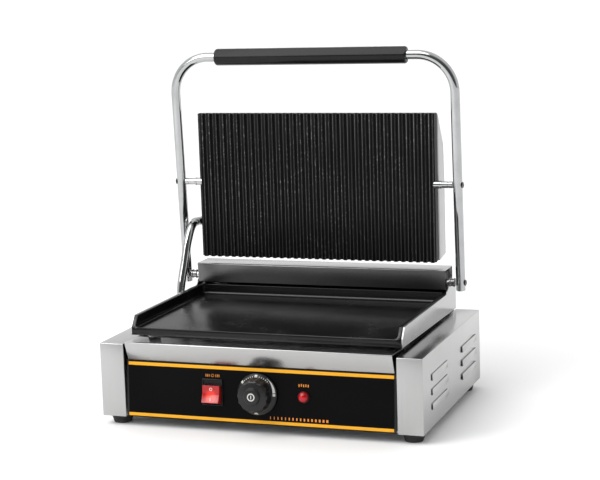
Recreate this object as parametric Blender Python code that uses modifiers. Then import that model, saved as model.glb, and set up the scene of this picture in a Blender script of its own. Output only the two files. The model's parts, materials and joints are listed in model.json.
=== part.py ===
"""Panini press: a single contact grill with a smooth lower griddle and a ribbed, floating upper platen.

Metres, +Z up, front towards -Y. The origin lies on the table under the middle of the whole body.
Depths are counted from the front face of the casing, heights from the table.
"""

import math

import bmesh
import bpy
from mathutils import Matrix, Vector

# ---- driving dimensions ----------------------------------------------------------------------------
FRONT_Y = -0.1421           # Y of the casing's front face
GAP = 0.0003                # clearance between touching pieces

BASE_WIDTH = 0.430
BASE_DEPTH = 0.295
BASE_BOTTOM = 0.012
BASE_TOP = 0.108
CAP_WIDTH = 0.033
SHEET = 0.0012              # stainless sheet thickness
INNER_HALF = 0.1805         # half width of the sheets between the two casings

FOOT_TOP_RADIUS = 0.0145
FOOT_BOTTOM_RADIUS = 0.0115
FOOT_INSET_X = 0.197
FOOT_INSET_Y = 0.021

LOUVRE_LENGTH = 0.076
LOUVRE_HEIGHT = 0.0085
LOUVRE_LIP = 0.0025
LOUVRE_STARTS = (0.040, 0.193)
LOUVRE_HEIGHTS = (0.0385, 0.0570, 0.0755)

PANEL_TILT = math.atan2(0.0055, 0.073)
PANEL_FOOT = 0.0135         # height of the panel's lower edge
PANEL_HEIGHT = 0.0725
LABEL_HALF = 0.1775
LABEL_THICKNESS = 0.0006
SWITCH_X = -0.0608
SWITCH_HEIGHT = 0.0376      # along the panel, from its lower edge
ROCKER_DROP = 0.0034        # rocker's pivot below the switch's middle
KNOB_X = 0.0
KNOB_HEIGHT = 0.0385
LAMP_X = 0.0612
LAMP_HEIGHT = 0.0385

KNOB_SKIRT_RADIUS = 0.0264
KNOB_CAP_RADIUS = 0.0210
KNOB_LENGTH = 0.0245
KNOB_BORE = 0.0160
SHAFT_RADIUS = 0.003
LAMP_RADIUS = 0.0075
BEZEL_WIDTH = 0.028
BEZEL_HEIGHT = 0.034
SWITCH_BODY_HALF = (0.0128, 0.0160)
POCKET_TOP = 0.0138          # above the switch's middle
ROCKER_WIDTH = 0.0235
ROCKER_HEIGHT = 0.0226
ROCKER_FACE = (0.0090, 0.0110)       # how far its middle and its ends stand out from the pivot
ROCKER_TILT = math.radians(11.0)

GRIDDLE_BOTTOM = 0.1145
COOKING_HEIGHT = 0.1245
GRIDDLE_FRONT = 0.026
GRIDDLE_BACK = 0.260
GRIDDLE_HALF = 0.1812
GRIDDLE_WALL = 0.0052
WALL_TOP = 0.1385

BOX_HALF = 0.180
BOX_FRONT = 0.2473
BOX_BACK = 0.2880
BOX_BOTTOM = 0.1433
BOX_TOP = 0.1700
BOX_LEAN = 0.0008           # how far the front's lower edge stands back
BOX_SHEET = 0.0010

HINGE_DEPTH = 0.2562
HINGE_HEIGHT = 0.1525
SHAFT_HALF = 0.1927
HINGE_SHAFT_RADIUS = 0.0045
SPRING_WIRE = 0.0010

ARM_X = 0.1994
ARM_RADIUS = 0.00635
ARM_LEAN = math.radians(3.3)
ARM_TAIL = 0.0110           # arm length below the hinge
BAR_DISTANCE = 0.3075       # hinge to top bar, along the arm
BEND_RADIUS = 0.050
GRIP_LENGTH = 0.272
GRIP_RADIUS = 0.0115
PIVOT_DISTANCE = 0.1337     # hinge to platen pivot, along the arm

PLATEN_HALF = 0.1695
PLATEN_BOTTOM = 0.1805
PLATEN_TOP = 0.3822
RIB_TIP = 0.2425
RIB_ROOT = 0.2450
CASTING_BACK = 0.2620
RIB_COUNT = 33
COVER_HALF = 0.1700
COVER_BACK = 0.2935

TRAY_HALF = 0.178
TRAY_SHEET = 0.0010
DECK_DEPTH = 0.064          # where the fixed deck starts, behind the tray

GLAND_X = 0.120
GLAND_HEIGHT = 0.036
GLAND_HOLE = 0.0084

SCREW_RADIUS = 0.0022
ROD_RADIUS = 0.0046
BOSS_RADIUS = 0.0060

CONDUIT_RADIUS = 0.0058
CONDUIT_ROUTE = (           # x, depth, height: cover's left side, bend, and down to the casing's top
    (-0.1786, 0.2646, 0.2275), (-0.1820, 0.2616, 0.2275), (-0.1842, 0.2560, 0.2268),
    (-0.1848, 0.2480, 0.2245), (-0.1852, 0.2405, 0.2190), (-0.1858, 0.2345, 0.2100),
    (-0.1866, 0.2285, 0.1984), (-0.1878, 0.2245, 0.1840), (-0.1890, 0.2212, 0.1712),
    (-0.1902, 0.2175, 0.1590), (-0.1912, 0.2139, 0.1467), (-0.1918, 0.2118, 0.1360),
    (-0.1920, 0.2110, 0.1270), (-0.1920, 0.2110, 0.1204),
)

# ---- derived places --------------------------------------------------------------------------------


def y(depth):
    """World Y of a depth counted from the casing's front face."""
    return FRONT_Y + depth


def arm_point(distance):
    """World Y and Z on an arm's centre line, at a distance above the hinge."""
    return (
        y(HINGE_DEPTH) - distance * math.sin(ARM_LEAN),
        HINGE_HEIGHT + distance * math.cos(ARM_LEAN),
    )


PIVOT_Y, PIVOT_Z = arm_point(PIVOT_DISTANCE)
HINGE_Y = y(HINGE_DEPTH)
CAP_INNER = BASE_WIDTH / 2 - CAP_WIDTH
ARM_HOLES = (("hinge", (HINGE_Y, HINGE_HEIGHT)), ("pivot", (PIVOT_Y, PIVOT_Z)))

# ---- collections and materials ---------------------------------------------------------------------


def clear_scene():
    """Remove the objects of the open scene."""
    for item in list(bpy.data.objects):
        bpy.data.objects.remove(item, do_unlink=True)


def make_collection(name):
    """Return a new collection linked to the scene."""
    collection = bpy.data.collections.new(name)
    bpy.context.scene.collection.children.link(collection)
    return collection


FINISHES = {                # linear colour, roughness, metallic
    "brushed": ((0.62, 0.62, 0.61), 0.32, 1.0),
    "polished": ((0.72, 0.72, 0.72), 0.10, 1.0),
    "zinc": ((0.50, 0.51, 0.52), 0.45, 1.0),
    "iron": ((0.012, 0.012, 0.013), 0.38, 0.0),
    "spring": ((0.09, 0.09, 0.09), 0.40, 1.0),
    "bakelite": ((0.020, 0.020, 0.021), 0.35, 0.0),
    "plastic": ((0.030, 0.030, 0.031), 0.45, 0.0),
    "rubber": ((0.014, 0.014, 0.014), 0.75, 0.0),
    "label": ((0.010, 0.010, 0.010), 0.40, 0.0),
    "red": ((0.60, 0.020, 0.020), 0.25, 0.0),
    "lamp": ((0.38, 0.004, 0.008), 0.12, 0.0),
    "wool": ((0.60, 0.58, 0.50), 0.95, 0.0),
    "ceramic": ((0.75, 0.73, 0.68), 0.50, 0.0),
    "element": ((0.18, 0.17, 0.16), 0.50, 1.0),
}


def dress(item, finish):
    """Give an object a Principled material of its own."""
    colour, roughness, metallic = FINISHES[finish]
    made = bpy.data.materials.new(item.name)
    made.use_nodes = True
    shader = made.node_tree.nodes["Principled BSDF"]
    shader.inputs["Base Color"].default_value = (*colour, 1.0)
    shader.inputs["Roughness"].default_value = roughness
    shader.inputs["Metallic"].default_value = metallic
    item.data.materials.clear()
    item.data.materials.append(made)
    return item


def keep(item, finish, parent=None):
    """Put a finished sub-part in the object's collection, with its material."""
    for user in list(item.users_collection):
        user.objects.unlink(item)
    PARTS.objects.link(item)
    if parent is not None:
        item.parent = parent
    return dress(item, finish)


def hide_tool(item, parent=None):
    """Put a cutter or a joined shape in the cutters' collection."""
    for user in list(item.users_collection):
        user.objects.unlink(item)
    CUTTERS.objects.link(item)
    item.hide_render = True
    item.display_type = "WIRE"
    if parent is not None:
        item.parent = parent
    return item


# ---- shapes ----------------------------------------------------------------------------------------

PLANES = {                  # how an outline's own axes turn to the world
    "xy": (0.0, 0.0, 0.0),
    "xz": (math.pi / 2, 0.0, 0.0),
    "yz": (math.pi / 2, 0.0, math.pi / 2),
}


XY_TO_YZ = Matrix(((0, 0, 1, 0), (1, 0, 0, 0), (0, 1, 0, 0), (0, 0, 0, 1)))


def mesh_object(name, bm):
    """Turn a bmesh into an object in the scene's collection."""
    data = bpy.data.meshes.new(name)
    bmesh.ops.recalc_face_normals(bm, faces=bm.faces)
    bm.to_mesh(data)
    bm.free()
    item = bpy.data.objects.new(name, data)
    bpy.context.scene.collection.objects.link(item)
    return item


def as_mesh(item, smooth=False):
    """Replace a curve object by a welded mesh object in the same place."""
    bpy.context.view_layer.update()
    graph = bpy.context.evaluated_depsgraph_get()
    data = bpy.data.meshes.new_from_object(item.evaluated_get(graph))
    bm = bmesh.new()
    bm.from_mesh(data)
    bmesh.ops.remove_doubles(bm, verts=bm.verts, dist=0.00001)
    bmesh.ops.recalc_face_normals(bm, faces=bm.faces)
    bm.to_mesh(data)
    bm.free()
    if smooth:
        data.shade_smooth()
        data.set_sharp_from_angle(angle=math.radians(40))
    made = bpy.data.objects.new(item.name, data)
    bpy.context.scene.collection.objects.link(made)
    made.matrix_world = item.matrix_world
    name = item.name
    bpy.data.objects.remove(item, do_unlink=True)
    made.name = name
    return made


def block(name, low, high, bevel=0.0, segments=1):
    """A box between two corners, with its edges rounded if a bevel width is given."""
    bm = bmesh.new()
    size = Vector(high) - Vector(low)
    middle = (Vector(high) + Vector(low)) / 2
    bmesh.ops.create_cube(bm, size=1.0, matrix=Matrix.Translation(middle) @ Matrix.Diagonal((*size, 1.0)))
    item = mesh_object(name, bm)
    if bevel:
        rounding = item.modifiers.new("rounded_edges", "BEVEL")
        rounding.width = bevel
        rounding.segments = segments
    return item


def bar(name, start, end, radius, sides=24, end_radius=None):
    """A round bar or cone from one point to another."""
    along = Vector(end) - Vector(start)
    bm = bmesh.new()
    bmesh.ops.create_cone(
        bm,
        cap_ends=True,
        segments=sides,
        radius1=radius,
        radius2=radius if end_radius is None else end_radius,
        depth=along.length,
    )
    turn = along.to_track_quat("Z", "Y").to_matrix().to_4x4()
    middle = Matrix.Translation((Vector(start) + Vector(end)) / 2)
    bmesh.ops.transform(bm, verts=bm.verts, matrix=middle @ turn)
    item = mesh_object(name, bm)
    item.data.shade_smooth()
    item.data.set_sharp_from_angle(angle=math.radians(40))
    return item


def plate(name, outlines, thickness, plane, middle):
    """A flat plate from outlines, the first its edge and the others holes, centred on a point."""
    curve = bpy.data.curves.new(name, "CURVE")
    curve.dimensions = "2D"
    curve.fill_mode = "BOTH"
    curve.extrude = thickness / 2
    for outline in outlines:
        spline = curve.splines.new("POLY")
        spline.points.add(len(outline) - 1)
        for point, (u, v) in zip(spline.points, outline):
            point.co = (u, v, 0.0, 1.0)
        spline.use_cyclic_u = True
    item = bpy.data.objects.new(name, curve)
    bpy.context.scene.collection.objects.link(item)
    item.rotation_euler = PLANES[plane]
    item.location = middle
    return as_mesh(item)


def pipe(name, points, radius, resolution=2, smooth=True):
    """A round tube or wire through a list of points, with closed ends."""
    curve = bpy.data.curves.new(name, "CURVE")
    curve.dimensions = "3D"
    curve.bevel_depth = radius
    curve.bevel_resolution = resolution
    curve.use_fill_caps = True
    spline = curve.splines.new("POLY")
    spline.points.add(len(points) - 1)
    for point, place in zip(spline.points, points):
        point.co = (*place, 1.0)
    item = bpy.data.objects.new(name, curve)
    bpy.context.scene.collection.objects.link(item)
    return as_mesh(item, smooth)


def turned(name, profile, steps=32, closed=False):
    """A turned shape: a profile of radius and height, outer side from top to bottom, spun about Z."""
    bm = bmesh.new()
    points = [bm.verts.new((radius, 0.0, height)) for radius, height in profile]
    for first, second in zip(points, points[1:]):
        bm.edges.new((first, second))
    if closed:
        bm.edges.new((points[-1], points[0]))
    data = bpy.data.meshes.new(name)
    bm.to_mesh(data)
    bm.free()
    item = bpy.data.objects.new(name, data)
    bpy.context.scene.collection.objects.link(item)
    spin = item.modifiers.new("turned", "SCREW")
    spin.steps = steps
    spin.render_steps = steps
    spin.use_merge_vertices = True
    spin.merge_threshold = 0.00005
    return item


def circle(u, v, radius, count=24, start=0.0, turn=2 * math.pi):
    """Points of a circle, or of an arc when a smaller turn is given."""
    steps = count if abs(turn) > 6.28 else count + 1
    return [
        (u + radius * math.cos(start + turn * k / count), v + radius * math.sin(start + turn * k / count))
        for k in range(steps)
    ]


def rectangle(u0, v0, u1, v1, radius=0.0, count=3):
    """Points of a rectangle, with rounded corners if a radius is given."""
    if not radius:
        return [(u0, v0), (u1, v0), (u1, v1), (u0, v1)]
    low_u, low_v = u0 + radius, v0 + radius
    high_u, high_v = u1 - radius, v1 - radius
    centres = ((high_u, high_v), (low_u, high_v), (low_u, low_v), (high_u, low_v))
    points = []
    for k, (u, v) in enumerate(centres):
        points += circle(u, v, radius, count, k * math.pi / 2, math.pi / 2)
    return points


def sheet_outline(line, thickness):
    """Closed outline of a bent sheet whose middle follows a line of points."""
    left, right = [], []
    for k, point in enumerate(line):
        here = Vector(point)
        before = (here - Vector(line[k - 1])).normalized() if k else None
        after = (Vector(line[k + 1]) - here).normalized() if k < len(line) - 1 else None
        first = before or after
        second = after or before
        normal = (Vector((-first.y, first.x)) + Vector((-second.y, second.x))).normalized()
        reach = thickness / 2 / max(normal.dot(Vector((-first.y, first.x))), 0.3)
        left.append(tuple(here + normal * reach))
        right.append(tuple(here - normal * reach))
    return left + right[::-1]


def boolean(item, tool, operation):
    """Cut a piece with a tool, or join the tool to it."""
    step = item.modifiers.new(tool.name, "BOOLEAN")
    step.operation = operation
    step.solver = "EXACT"
    step.object = tool
    return item


def cut(item, tool, parent=None):
    """Remove a tool's volume from a piece."""
    return boolean(item, hide_tool(tool, parent), "DIFFERENCE")


def join(item, tool, parent=None):
    """Add a tool's volume to a piece."""
    return boolean(item, hide_tool(tool, parent), "UNION")


def place_on_axis(item, origin):
    """Move an object's origin to a world point on its joint axis, without moving its shape."""
    shift = Vector(origin) - item.location
    item.data.transform(Matrix.Translation(item.matrix_basis.to_3x3().inverted() @ -shift))
    item.location = origin
    return item


# ---- base: casings, sheets and feet ----------------------------------------------------------------


def side_name(side):
    return "right" if side > 0 else "left"


def end_cap(side):
    """Boxed casing at one end, open towards the middle, with two columns of pressed louvres."""
    outer = side * BASE_WIDTH / 2
    inner = side * CAP_INNER
    low, high = min(outer, inner), max(outer, inner)
    item = block(
        f"end_cap_{side_name(side)}", (low, y(0), BASE_BOTTOM), (high, y(BASE_DEPTH), BASE_TOP), 0.0015, 2
    )
    wall = 0.0015
    reach = inner - side * 0.004
    room = outer - side * wall
    cut(item, block(
        f"{item.name}_room",
        (min(reach, room), y(wall), BASE_BOTTOM + wall),
        (max(reach, room), y(BASE_DEPTH - wall), BASE_TOP - wall),
    ))
    for column, start in enumerate(LOUVRE_STARTS):
        for row, height in enumerate(LOUVRE_HEIGHTS):
            add_louvre(item, side, f"{item.name}_louvre_{column}{row}", start, height)
    return keep(item, "brushed")


def add_louvre(item, side, name, start, height):
    """One slot through the casing with a lip that leans outwards over it."""
    outer = side * BASE_WIDTH / 2
    top = height + LOUVRE_HEIGHT / 2
    low = height - LOUVRE_HEIGHT / 2
    middle = y(start + LOUVRE_LENGTH / 2)
    lip = [
        (outer - side * 0.0010, top),
        (outer - side * 0.0003, top + 0.0012),
        (outer + side * LOUVRE_LIP, low + 0.0020),
        (outer + side * LOUVRE_LIP, low),
        (outer + side * (LOUVRE_LIP - 0.0010), low),
    ]
    cut(item, block(
        f"{name}_slot",
        (outer - 0.004, y(start + 0.001), low + 0.001),
        (outer + 0.004, y(start + LOUVRE_LENGTH - 0.001), top - 0.0005),
    ))
    join(item, plate(f"{name}_lip", [lip], LOUVRE_LENGTH, "xz", (0.0, middle, 0.0)))


def base_pan():
    """Bottom sheet between the casings, with its front and back edges turned up."""
    line = [(y(0.0070), 0.0225), (y(0.0070), 0.0130), (y(0.2880), 0.0130), (y(0.2880), 0.0225)]
    item = plate("base_pan", [sheet_outline(line, SHEET)], 2 * INNER_HALF, "yz", (0.0, 0.0, 0.0))
    return keep(item, "zinc")


def top_deck():
    """Fixed sheet on top of the base, turned down at both edges, with openings for hinge and leads."""
    height = BASE_TOP - SHEET / 2
    line = [(y(DECK_DEPTH), 0.0960), (y(DECK_DEPTH), height), (y(0.2900), height), (y(0.2900), 0.0960)]
    item = plate("top_deck", [sheet_outline(line, SHEET)], 2 * INNER_HALF, "yz", (0.0, 0.0, 0.0))
    for side in (-1, 1):
        slot = block(
            f"deck_lead_hole_{side_name(side)}",
            (side * 0.120 - 0.008, y(0.222), 0.100),
            (side * 0.120 + 0.008, y(0.238), 0.112),
        )
        cut(item, slot)
    return keep(item, "brushed")


def rear_panel():
    """Back sheet between the casings, with vent slots and the hole for the cable gland."""
    holes = [circle(GLAND_X, GLAND_HEIGHT, GLAND_HOLE, 20)]
    for k in range(8):
        u = -0.120 + 0.024 * k
        holes.append(rectangle(u, 0.060, u + 0.004, 0.088))
    edge = rectangle(-INNER_HALF, 0.0140, INNER_HALF, 0.1060)
    item = plate("rear_panel", [edge, *holes], SHEET, "xz", (0.0, y(BASE_DEPTH - 0.0012), 0.0))
    return keep(item, "brushed")


def cable_gland():
    """Moulded inlet for the supply lead, open right through."""
    back = y(BASE_DEPTH)
    profile = [
        (0.0045, 0.0180), (0.0085, 0.0180), (0.0100, 0.0100), (0.0120, 0.0040), (0.0120, 0.0000),
        (0.0080, 0.0000), (0.0080, -0.0060), (0.0045, -0.0060),
    ]
    item = turned("cable_gland", profile, 24, closed=True)
    item.rotation_euler = (-math.pi / 2, 0.0, 0.0)
    item.location = (GLAND_X, back, GLAND_HEIGHT)
    return keep(item, "plastic")


def foot(number, x, depth):
    """Tapered rubber foot with a recess for its screw."""
    profile = [
        (0.0, BASE_BOTTOM - GAP), (FOOT_TOP_RADIUS, BASE_BOTTOM - GAP),
        (FOOT_TOP_RADIUS, BASE_BOTTOM - 0.002), (FOOT_BOTTOM_RADIUS, 0.0),
        (0.0045, 0.0), (0.0040, 0.0055), (0.0, 0.0055),
    ]
    item = turned(f"foot_{number}", profile, 24)
    item.location = (x, y(depth), 0.0)
    return keep(item, "rubber")


def feet():
    number = 0
    for depth in (FOOT_INSET_Y, BASE_DEPTH - FOOT_INSET_Y):
        for side in (-1, 1):
            number += 1
            foot(number, side * FOOT_INSET_X, depth)


def drip_tray():
    """Pull-out tray: sloping front strip, landing apron and a trough under the griddle's front edge."""
    trough = [(y(0.0390), 0.1092), (y(0.0420), 0.0945), (y(0.0560), 0.0945), (y(0.0595), 0.1085)]
    line = [(y(0.0062), 0.0872), (y(-0.0034), 0.1110), (y(0.0000), 0.1112), *trough]
    item = plate("drip_tray", [sheet_outline(line, TRAY_SHEET)], 2 * TRAY_HALF, "yz", (0.0, 0.0, 0.0))
    middle = TRAY_HALF - TRAY_SHEET
    for side in (-1, 1):
        wall = plate(f"tray_end_{side_name(side)}", [trough], TRAY_SHEET, "yz", (side * middle, 0.0, 0.0))
        join(item, wall)
    return keep(item, "brushed")


def tray_shelf():
    """Bent sheet that carries the drip tray between the control panel and the deck."""
    line = [(y(0.0105), 0.0780), (y(0.0105), 0.0905), (y(0.0622), 0.0905), (y(0.0622), 0.1050)]
    item = plate("tray_shelf", [sheet_outline(line, 0.0010)], 2 * INNER_HALF, "yz", (0.0, 0.0, 0.0))
    return keep(item, "zinc")


# ---- control panel ---------------------------------------------------------------------------------


def panel_datum():
    """Empty on the panel's lower edge: X across, Z up the panel, -Y out of it."""
    datum = bpy.data.objects.new("panel_datum", None)
    PARTS.objects.link(datum)
    datum.location = (0.0, y(0.0), PANEL_FOOT)
    datum.rotation_euler = (-PANEL_TILT, 0.0, 0.0)
    return datum


def panel_sheet(name, half, low, high, thickness, middle, grow):
    """A flat sheet of the control panel with its three cut-outs, each grown by a margin."""
    holes = [
        rectangle(
            SWITCH_X - SWITCH_BODY_HALF[0] - grow, SWITCH_HEIGHT - SWITCH_BODY_HALF[1] - grow,
            SWITCH_X + SWITCH_BODY_HALF[0] + grow, SWITCH_HEIGHT + SWITCH_BODY_HALF[1] + grow,
        ),
        circle(KNOB_X, KNOB_HEIGHT, 0.0050 + grow, 20),
        circle(LAMP_X, LAMP_HEIGHT, 0.0055 + grow, 20),
    ]
    edge = rectangle(-half, low, half, high)
    return plate(name, [edge, *holes], thickness, "xz", (0.0, middle, 0.0))


def front_panel(datum):
    """Metal front sheet that carries the controls."""
    item = panel_sheet("front_panel", INNER_HALF, 0.0, PANEL_HEIGHT, SHEET, 0.0015, 0.0004)
    return keep(item, "zinc", datum)


def control_label(datum):
    """Printed film over the front panel."""
    high = PANEL_HEIGHT - 0.0005
    item = panel_sheet("control_label", LABEL_HALF, 0.0, high, LABEL_THICKNESS, 0.0003, 0.0008)
    return keep(item, "label", datum)


def switch_housing(datum):
    """Snap-in switch body with a bezel and a pocket for the rocker."""
    wide, tall = BEZEL_WIDTH / 2, BEZEL_HEIGHT / 2
    item = block(
        "switch_housing",
        (SWITCH_X - wide, -0.0020, SWITCH_HEIGHT - tall),
        (SWITCH_X + wide, -GAP, SWITCH_HEIGHT + tall),
    )
    join(item, block(
        "switch_body",
        (SWITCH_X - SWITCH_BODY_HALF[0], -0.0010, SWITCH_HEIGHT - SWITCH_BODY_HALF[1]),
        (SWITCH_X + SWITCH_BODY_HALF[0], 0.0210, SWITCH_HEIGHT + SWITCH_BODY_HALF[1]),
    ), datum)
    room_x = ROCKER_WIDTH / 2 + GAP
    cut(item, block(
        "switch_pocket",
        (SWITCH_X - room_x, -0.0100, SWITCH_HEIGHT - ROCKER_DROP - ROCKER_HEIGHT / 2 - 2 * GAP),
        (SWITCH_X + room_x, 0.0150, SWITCH_HEIGHT + POCKET_TOP),
    ), datum)
    return keep(item, "plastic", datum)


def switch_rocker(datum):
    """Rocker whose two faces meet over its pivot; the pivot is the object's origin."""
    radius = ROCKER_HEIGHT / 2
    shoulder = math.radians(20)
    under = circle(0.0, 0.0, radius, 12, shoulder, math.pi - 2 * shoulder)
    reach = radius * math.cos(shoulder)
    faces = [(-reach, -ROCKER_FACE[1]), (0.0, -ROCKER_FACE[0]), (reach, -ROCKER_FACE[1])]
    outline = [(v, u) for u, v in under] + [(v, u) for u, v in faces]
    item = plate("switch_rocker", [outline], ROCKER_WIDTH, "yz", (0.0, 0.0, 0.0))
    item.data.transform(XY_TO_YZ)
    item.data.transform(Matrix.Rotation(-ROCKER_TILT, 4, "X"))
    item.rotation_euler = (0.0, 0.0, 0.0)
    item.location = (SWITCH_X, 0.0010, SWITCH_HEIGHT - ROCKER_DROP)
    return keep(item, "red", datum)


def thermostat(datum):
    """Thermostat body behind the panel, with its shaft coming through."""
    item = block(
        "thermostat_body",
        (KNOB_X - 0.0200, 0.0026, KNOB_HEIGHT - 0.0170),
        (KNOB_X + 0.0200, 0.0300, KNOB_HEIGHT + 0.0170),
        0.001,
    )
    join(item, bar(
        "thermostat_shaft", (KNOB_X, 0.0050, KNOB_HEIGHT), (KNOB_X, 0.0010 - KNOB_BORE, KNOB_HEIGHT),
        SHAFT_RADIUS, 16,
    ), datum)
    return keep(item, "zinc", datum)


def thermostat_knob(datum):
    """Dial skirt, ribbed cap and raised centre, bored for the shaft from behind."""
    front = KNOB_LENGTH
    profile = [
        (0.0, front), (0.0085, front), (0.0100, front - 0.0010), (0.0105, front - 0.0035),
        (KNOB_CAP_RADIUS - 0.0025, front - 0.0040), (KNOB_CAP_RADIUS, front - 0.0060),
        (KNOB_CAP_RADIUS + 0.0008, 0.0070), (KNOB_SKIRT_RADIUS - 0.0022, 0.0062),
        (KNOB_SKIRT_RADIUS, 0.0036), (KNOB_SKIRT_RADIUS, 0.0010),
        (SHAFT_RADIUS + GAP, 0.0010), (SHAFT_RADIUS + GAP, KNOB_BORE), (0.0, KNOB_BORE),
    ]
    item = turned("thermostat_knob", profile, 40)
    item.rotation_euler = (math.pi / 2, 0.0, 0.0)
    item.location = (KNOB_X, 0.0, KNOB_HEIGHT)
    return keep(item, "bakelite", datum)


def lamp(datum):
    """Indicator lamp: a body behind the panel and a domed lens in front."""
    body = bar(
        "lamp_body", (LAMP_X, 0.0230, LAMP_HEIGHT), (LAMP_X, -GAP, LAMP_HEIGHT), 0.0050, 20
    )
    keep(body, "plastic", datum)
    profile = [(0.0, 0.0075)] + [
        (LAMP_RADIUS * math.sin(a), 0.0015 + 0.0060 * math.cos(a))
        for a in (math.radians(25), math.radians(50), math.radians(70), math.radians(90))
    ] + [(LAMP_RADIUS, 0.0006), (0.0, 0.0006)]
    lens = turned("lamp_lens", profile, 24)
    lens.rotation_euler = (math.pi / 2, 0.0, 0.0)
    lens.location = (LAMP_X, 0.0, LAMP_HEIGHT)
    keep(lens, "lamp", datum)


def terminal_block():
    """Ceramic block on the pan where the supply lead ends."""
    item = block("terminal_block", (0.080, y(0.215), 0.0139), (0.140, y(0.240), 0.0360), 0.001)
    for k in range(3):
        x = 0.092 + 0.018 * k
        cut(item, bar(f"terminal_bore_{k}", (x, y(0.2275), 0.020), (x, y(0.2275), 0.040), 0.0040, 12))
    return keep(item, "ceramic")


# ---- lower griddle and what heats it ---------------------------------------------------------------


def lower_griddle():
    """Cast plate with a low front lip, walls on three sides and a pocket for its element below."""
    outline = [
        (y(GRIDDLE_FRONT), GRIDDLE_BOTTOM), (y(GRIDDLE_BACK), GRIDDLE_BOTTOM),
        (y(GRIDDLE_BACK), 0.1410), (y(0.2540), 0.1410), (y(0.2500), WALL_TOP),
        (y(0.0365), WALL_TOP), (y(GRIDDLE_FRONT), COOKING_HEIGHT),
    ]
    item = plate("lower_griddle", [outline], 2 * GRIDDLE_HALF, "yz", (0.0, 0.0, 0.0))
    half = GRIDDLE_HALF - GRIDDLE_WALL
    room = block(
        "cooking_room", (-half, y(-0.020), COOKING_HEIGHT), (half, y(0.2540), 0.1700), 0.0040, 3
    )
    cut(item, room)
    cut(item, block("element_pocket", (-0.162, y(0.042), 0.1000), (0.162, y(0.244), 0.1205)))
    return keep(item, "iron")


def side_plate(side):
    """Stainless cheek on the griddle's outer side, rising behind to a lug under the hinge shaft."""
    outline = [
        (y(0.0275), 0.1140), (y(0.2930), 0.1095), (y(0.2930), 0.1460), (y(0.2880), 0.1470),
        (y(0.2560), 0.1470), (y(0.2450), 0.1380), (y(0.0370), 0.1380), (y(0.0275), 0.1250),
    ]
    middle = side * (GRIDDLE_HALF + GAP + 0.00075)
    item = plate(f"side_plate_{side_name(side)}", [outline], 0.0015, "yz", (middle, 0.0, 0.0))
    return keep(item, "brushed")


def griddle_spacers():
    """Four blocks that hold the griddle off the deck."""
    number = 0
    for depth in (0.0720, 0.2500):
        for side in (-1, 1):
            number += 1
            item = block(
                f"griddle_spacer_{number}",
                (side * 0.1710 - 0.0060, y(depth) - 0.0060, BASE_TOP + GAP),
                (side * 0.1710 + 0.0060, y(depth) + 0.0060, GRIDDLE_BOTTOM - GAP),
            )
            keep(item, "iron")


def serpentine(half, rows):
    """Points of a heating element that runs to and fro across X, in a plane."""
    points = []
    for k, row in enumerate(rows):
        sign = 1 if k % 2 == 0 else -1
        points += [(-sign * half, row), (sign * half, row)]
        if k < len(rows) - 1:
            radius = (rows[k + 1] - row) / 2
            arc = circle(sign * half, row + radius, radius, 8, -math.pi / 2, sign * math.pi)
            points += arc[1:-1]
    return points


def lower_element():
    """Tubular element in the griddle's pocket."""
    rows = [y(0.060 + 0.056 * k) for k in range(4)]
    points = [(x, row, 0.1174) for x, row in serpentine(0.128, rows)]
    return keep(pipe("lower_element", points, 0.0026), "element")


def lower_heat_shield():
    """Sheet under the griddle that closes the element's pocket."""
    item = plate(
        "lower_heat_shield", [rectangle(-0.158, y(0.046), 0.158, y(0.240))], 0.0010, "xy", (0.0, 0.0, 0.1135)
    )
    return keep(item, "zinc")


# ---- hinge -----------------------------------------------------------------------------------------


def hinge_box():
    """Bent cover over the hinge shaft, open below and at both ends."""
    half = BOX_SHEET / 2
    foot = BASE_TOP + GAP + 0.0008
    line = [
        (y(BOX_FRONT + BOX_LEAN) + half, BOX_BOTTOM), (y(BOX_FRONT) + half, BOX_TOP - half),
        (y(BOX_BACK) - half, BOX_TOP - half), (y(BOX_BACK) - half, foot), (y(BOX_BACK) - 0.0120, foot),
    ]
    item = plate("hinge_box", [sheet_outline(line, BOX_SHEET)], 2 * BOX_HALF, "yz", (0.0, 0.0, 0.0))
    return keep(item, "brushed")


def hinge_shaft():
    """Steel shaft across the whole hinge, tapped at both ends."""
    item = bar(
        "hinge_shaft", (-SHAFT_HALF, HINGE_Y, HINGE_HEIGHT), (SHAFT_HALF, HINGE_Y, HINGE_HEIGHT),
        HINGE_SHAFT_RADIUS, 24,
    )
    for side in (-1, 1):
        drill_end(item, side, HINGE_Y, HINGE_HEIGHT)
    place_on_axis(item, (0.0, HINGE_Y, HINGE_HEIGHT))
    return keep(item, "polished")


def drill_end(item, side, where_y, where_z):
    """Blind hole for an arm screw in the end of a shaft or rod."""
    tool = bar(
        f"{item.name}_tapping_{side_name(side)}",
        (side * (SHAFT_HALF - 0.0080), where_y, where_z),
        (side * (SHAFT_HALF + 0.0100), where_y, where_z),
        SCREW_RADIUS + GAP, 16,
    )
    return cut(item, tool)


def hinge_bracket(side):
    """Steel bracket that stands on the deck and bears the shaft."""
    outline = [
        (y(0.2625), BASE_TOP + GAP), (y(0.2740), BASE_TOP + GAP), (y(0.2740), BASE_TOP + 0.0030),
        (y(0.2850), BASE_TOP + 0.0030), (y(0.2850), 0.1590), (y(0.2800), 0.1645), (y(0.2500), 0.1645),
        (y(0.2503), 0.1440), (y(0.2625), 0.1440),
    ]
    bore = circle(HINGE_Y, HINGE_HEIGHT, HINGE_SHAFT_RADIUS + GAP, 24)
    middle = (side * 0.1750, 0.0, 0.0)
    item = plate(f"hinge_bracket_{side_name(side)}", [outline, bore], 0.0030, "yz", middle)
    return keep(item, "spring")


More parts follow.
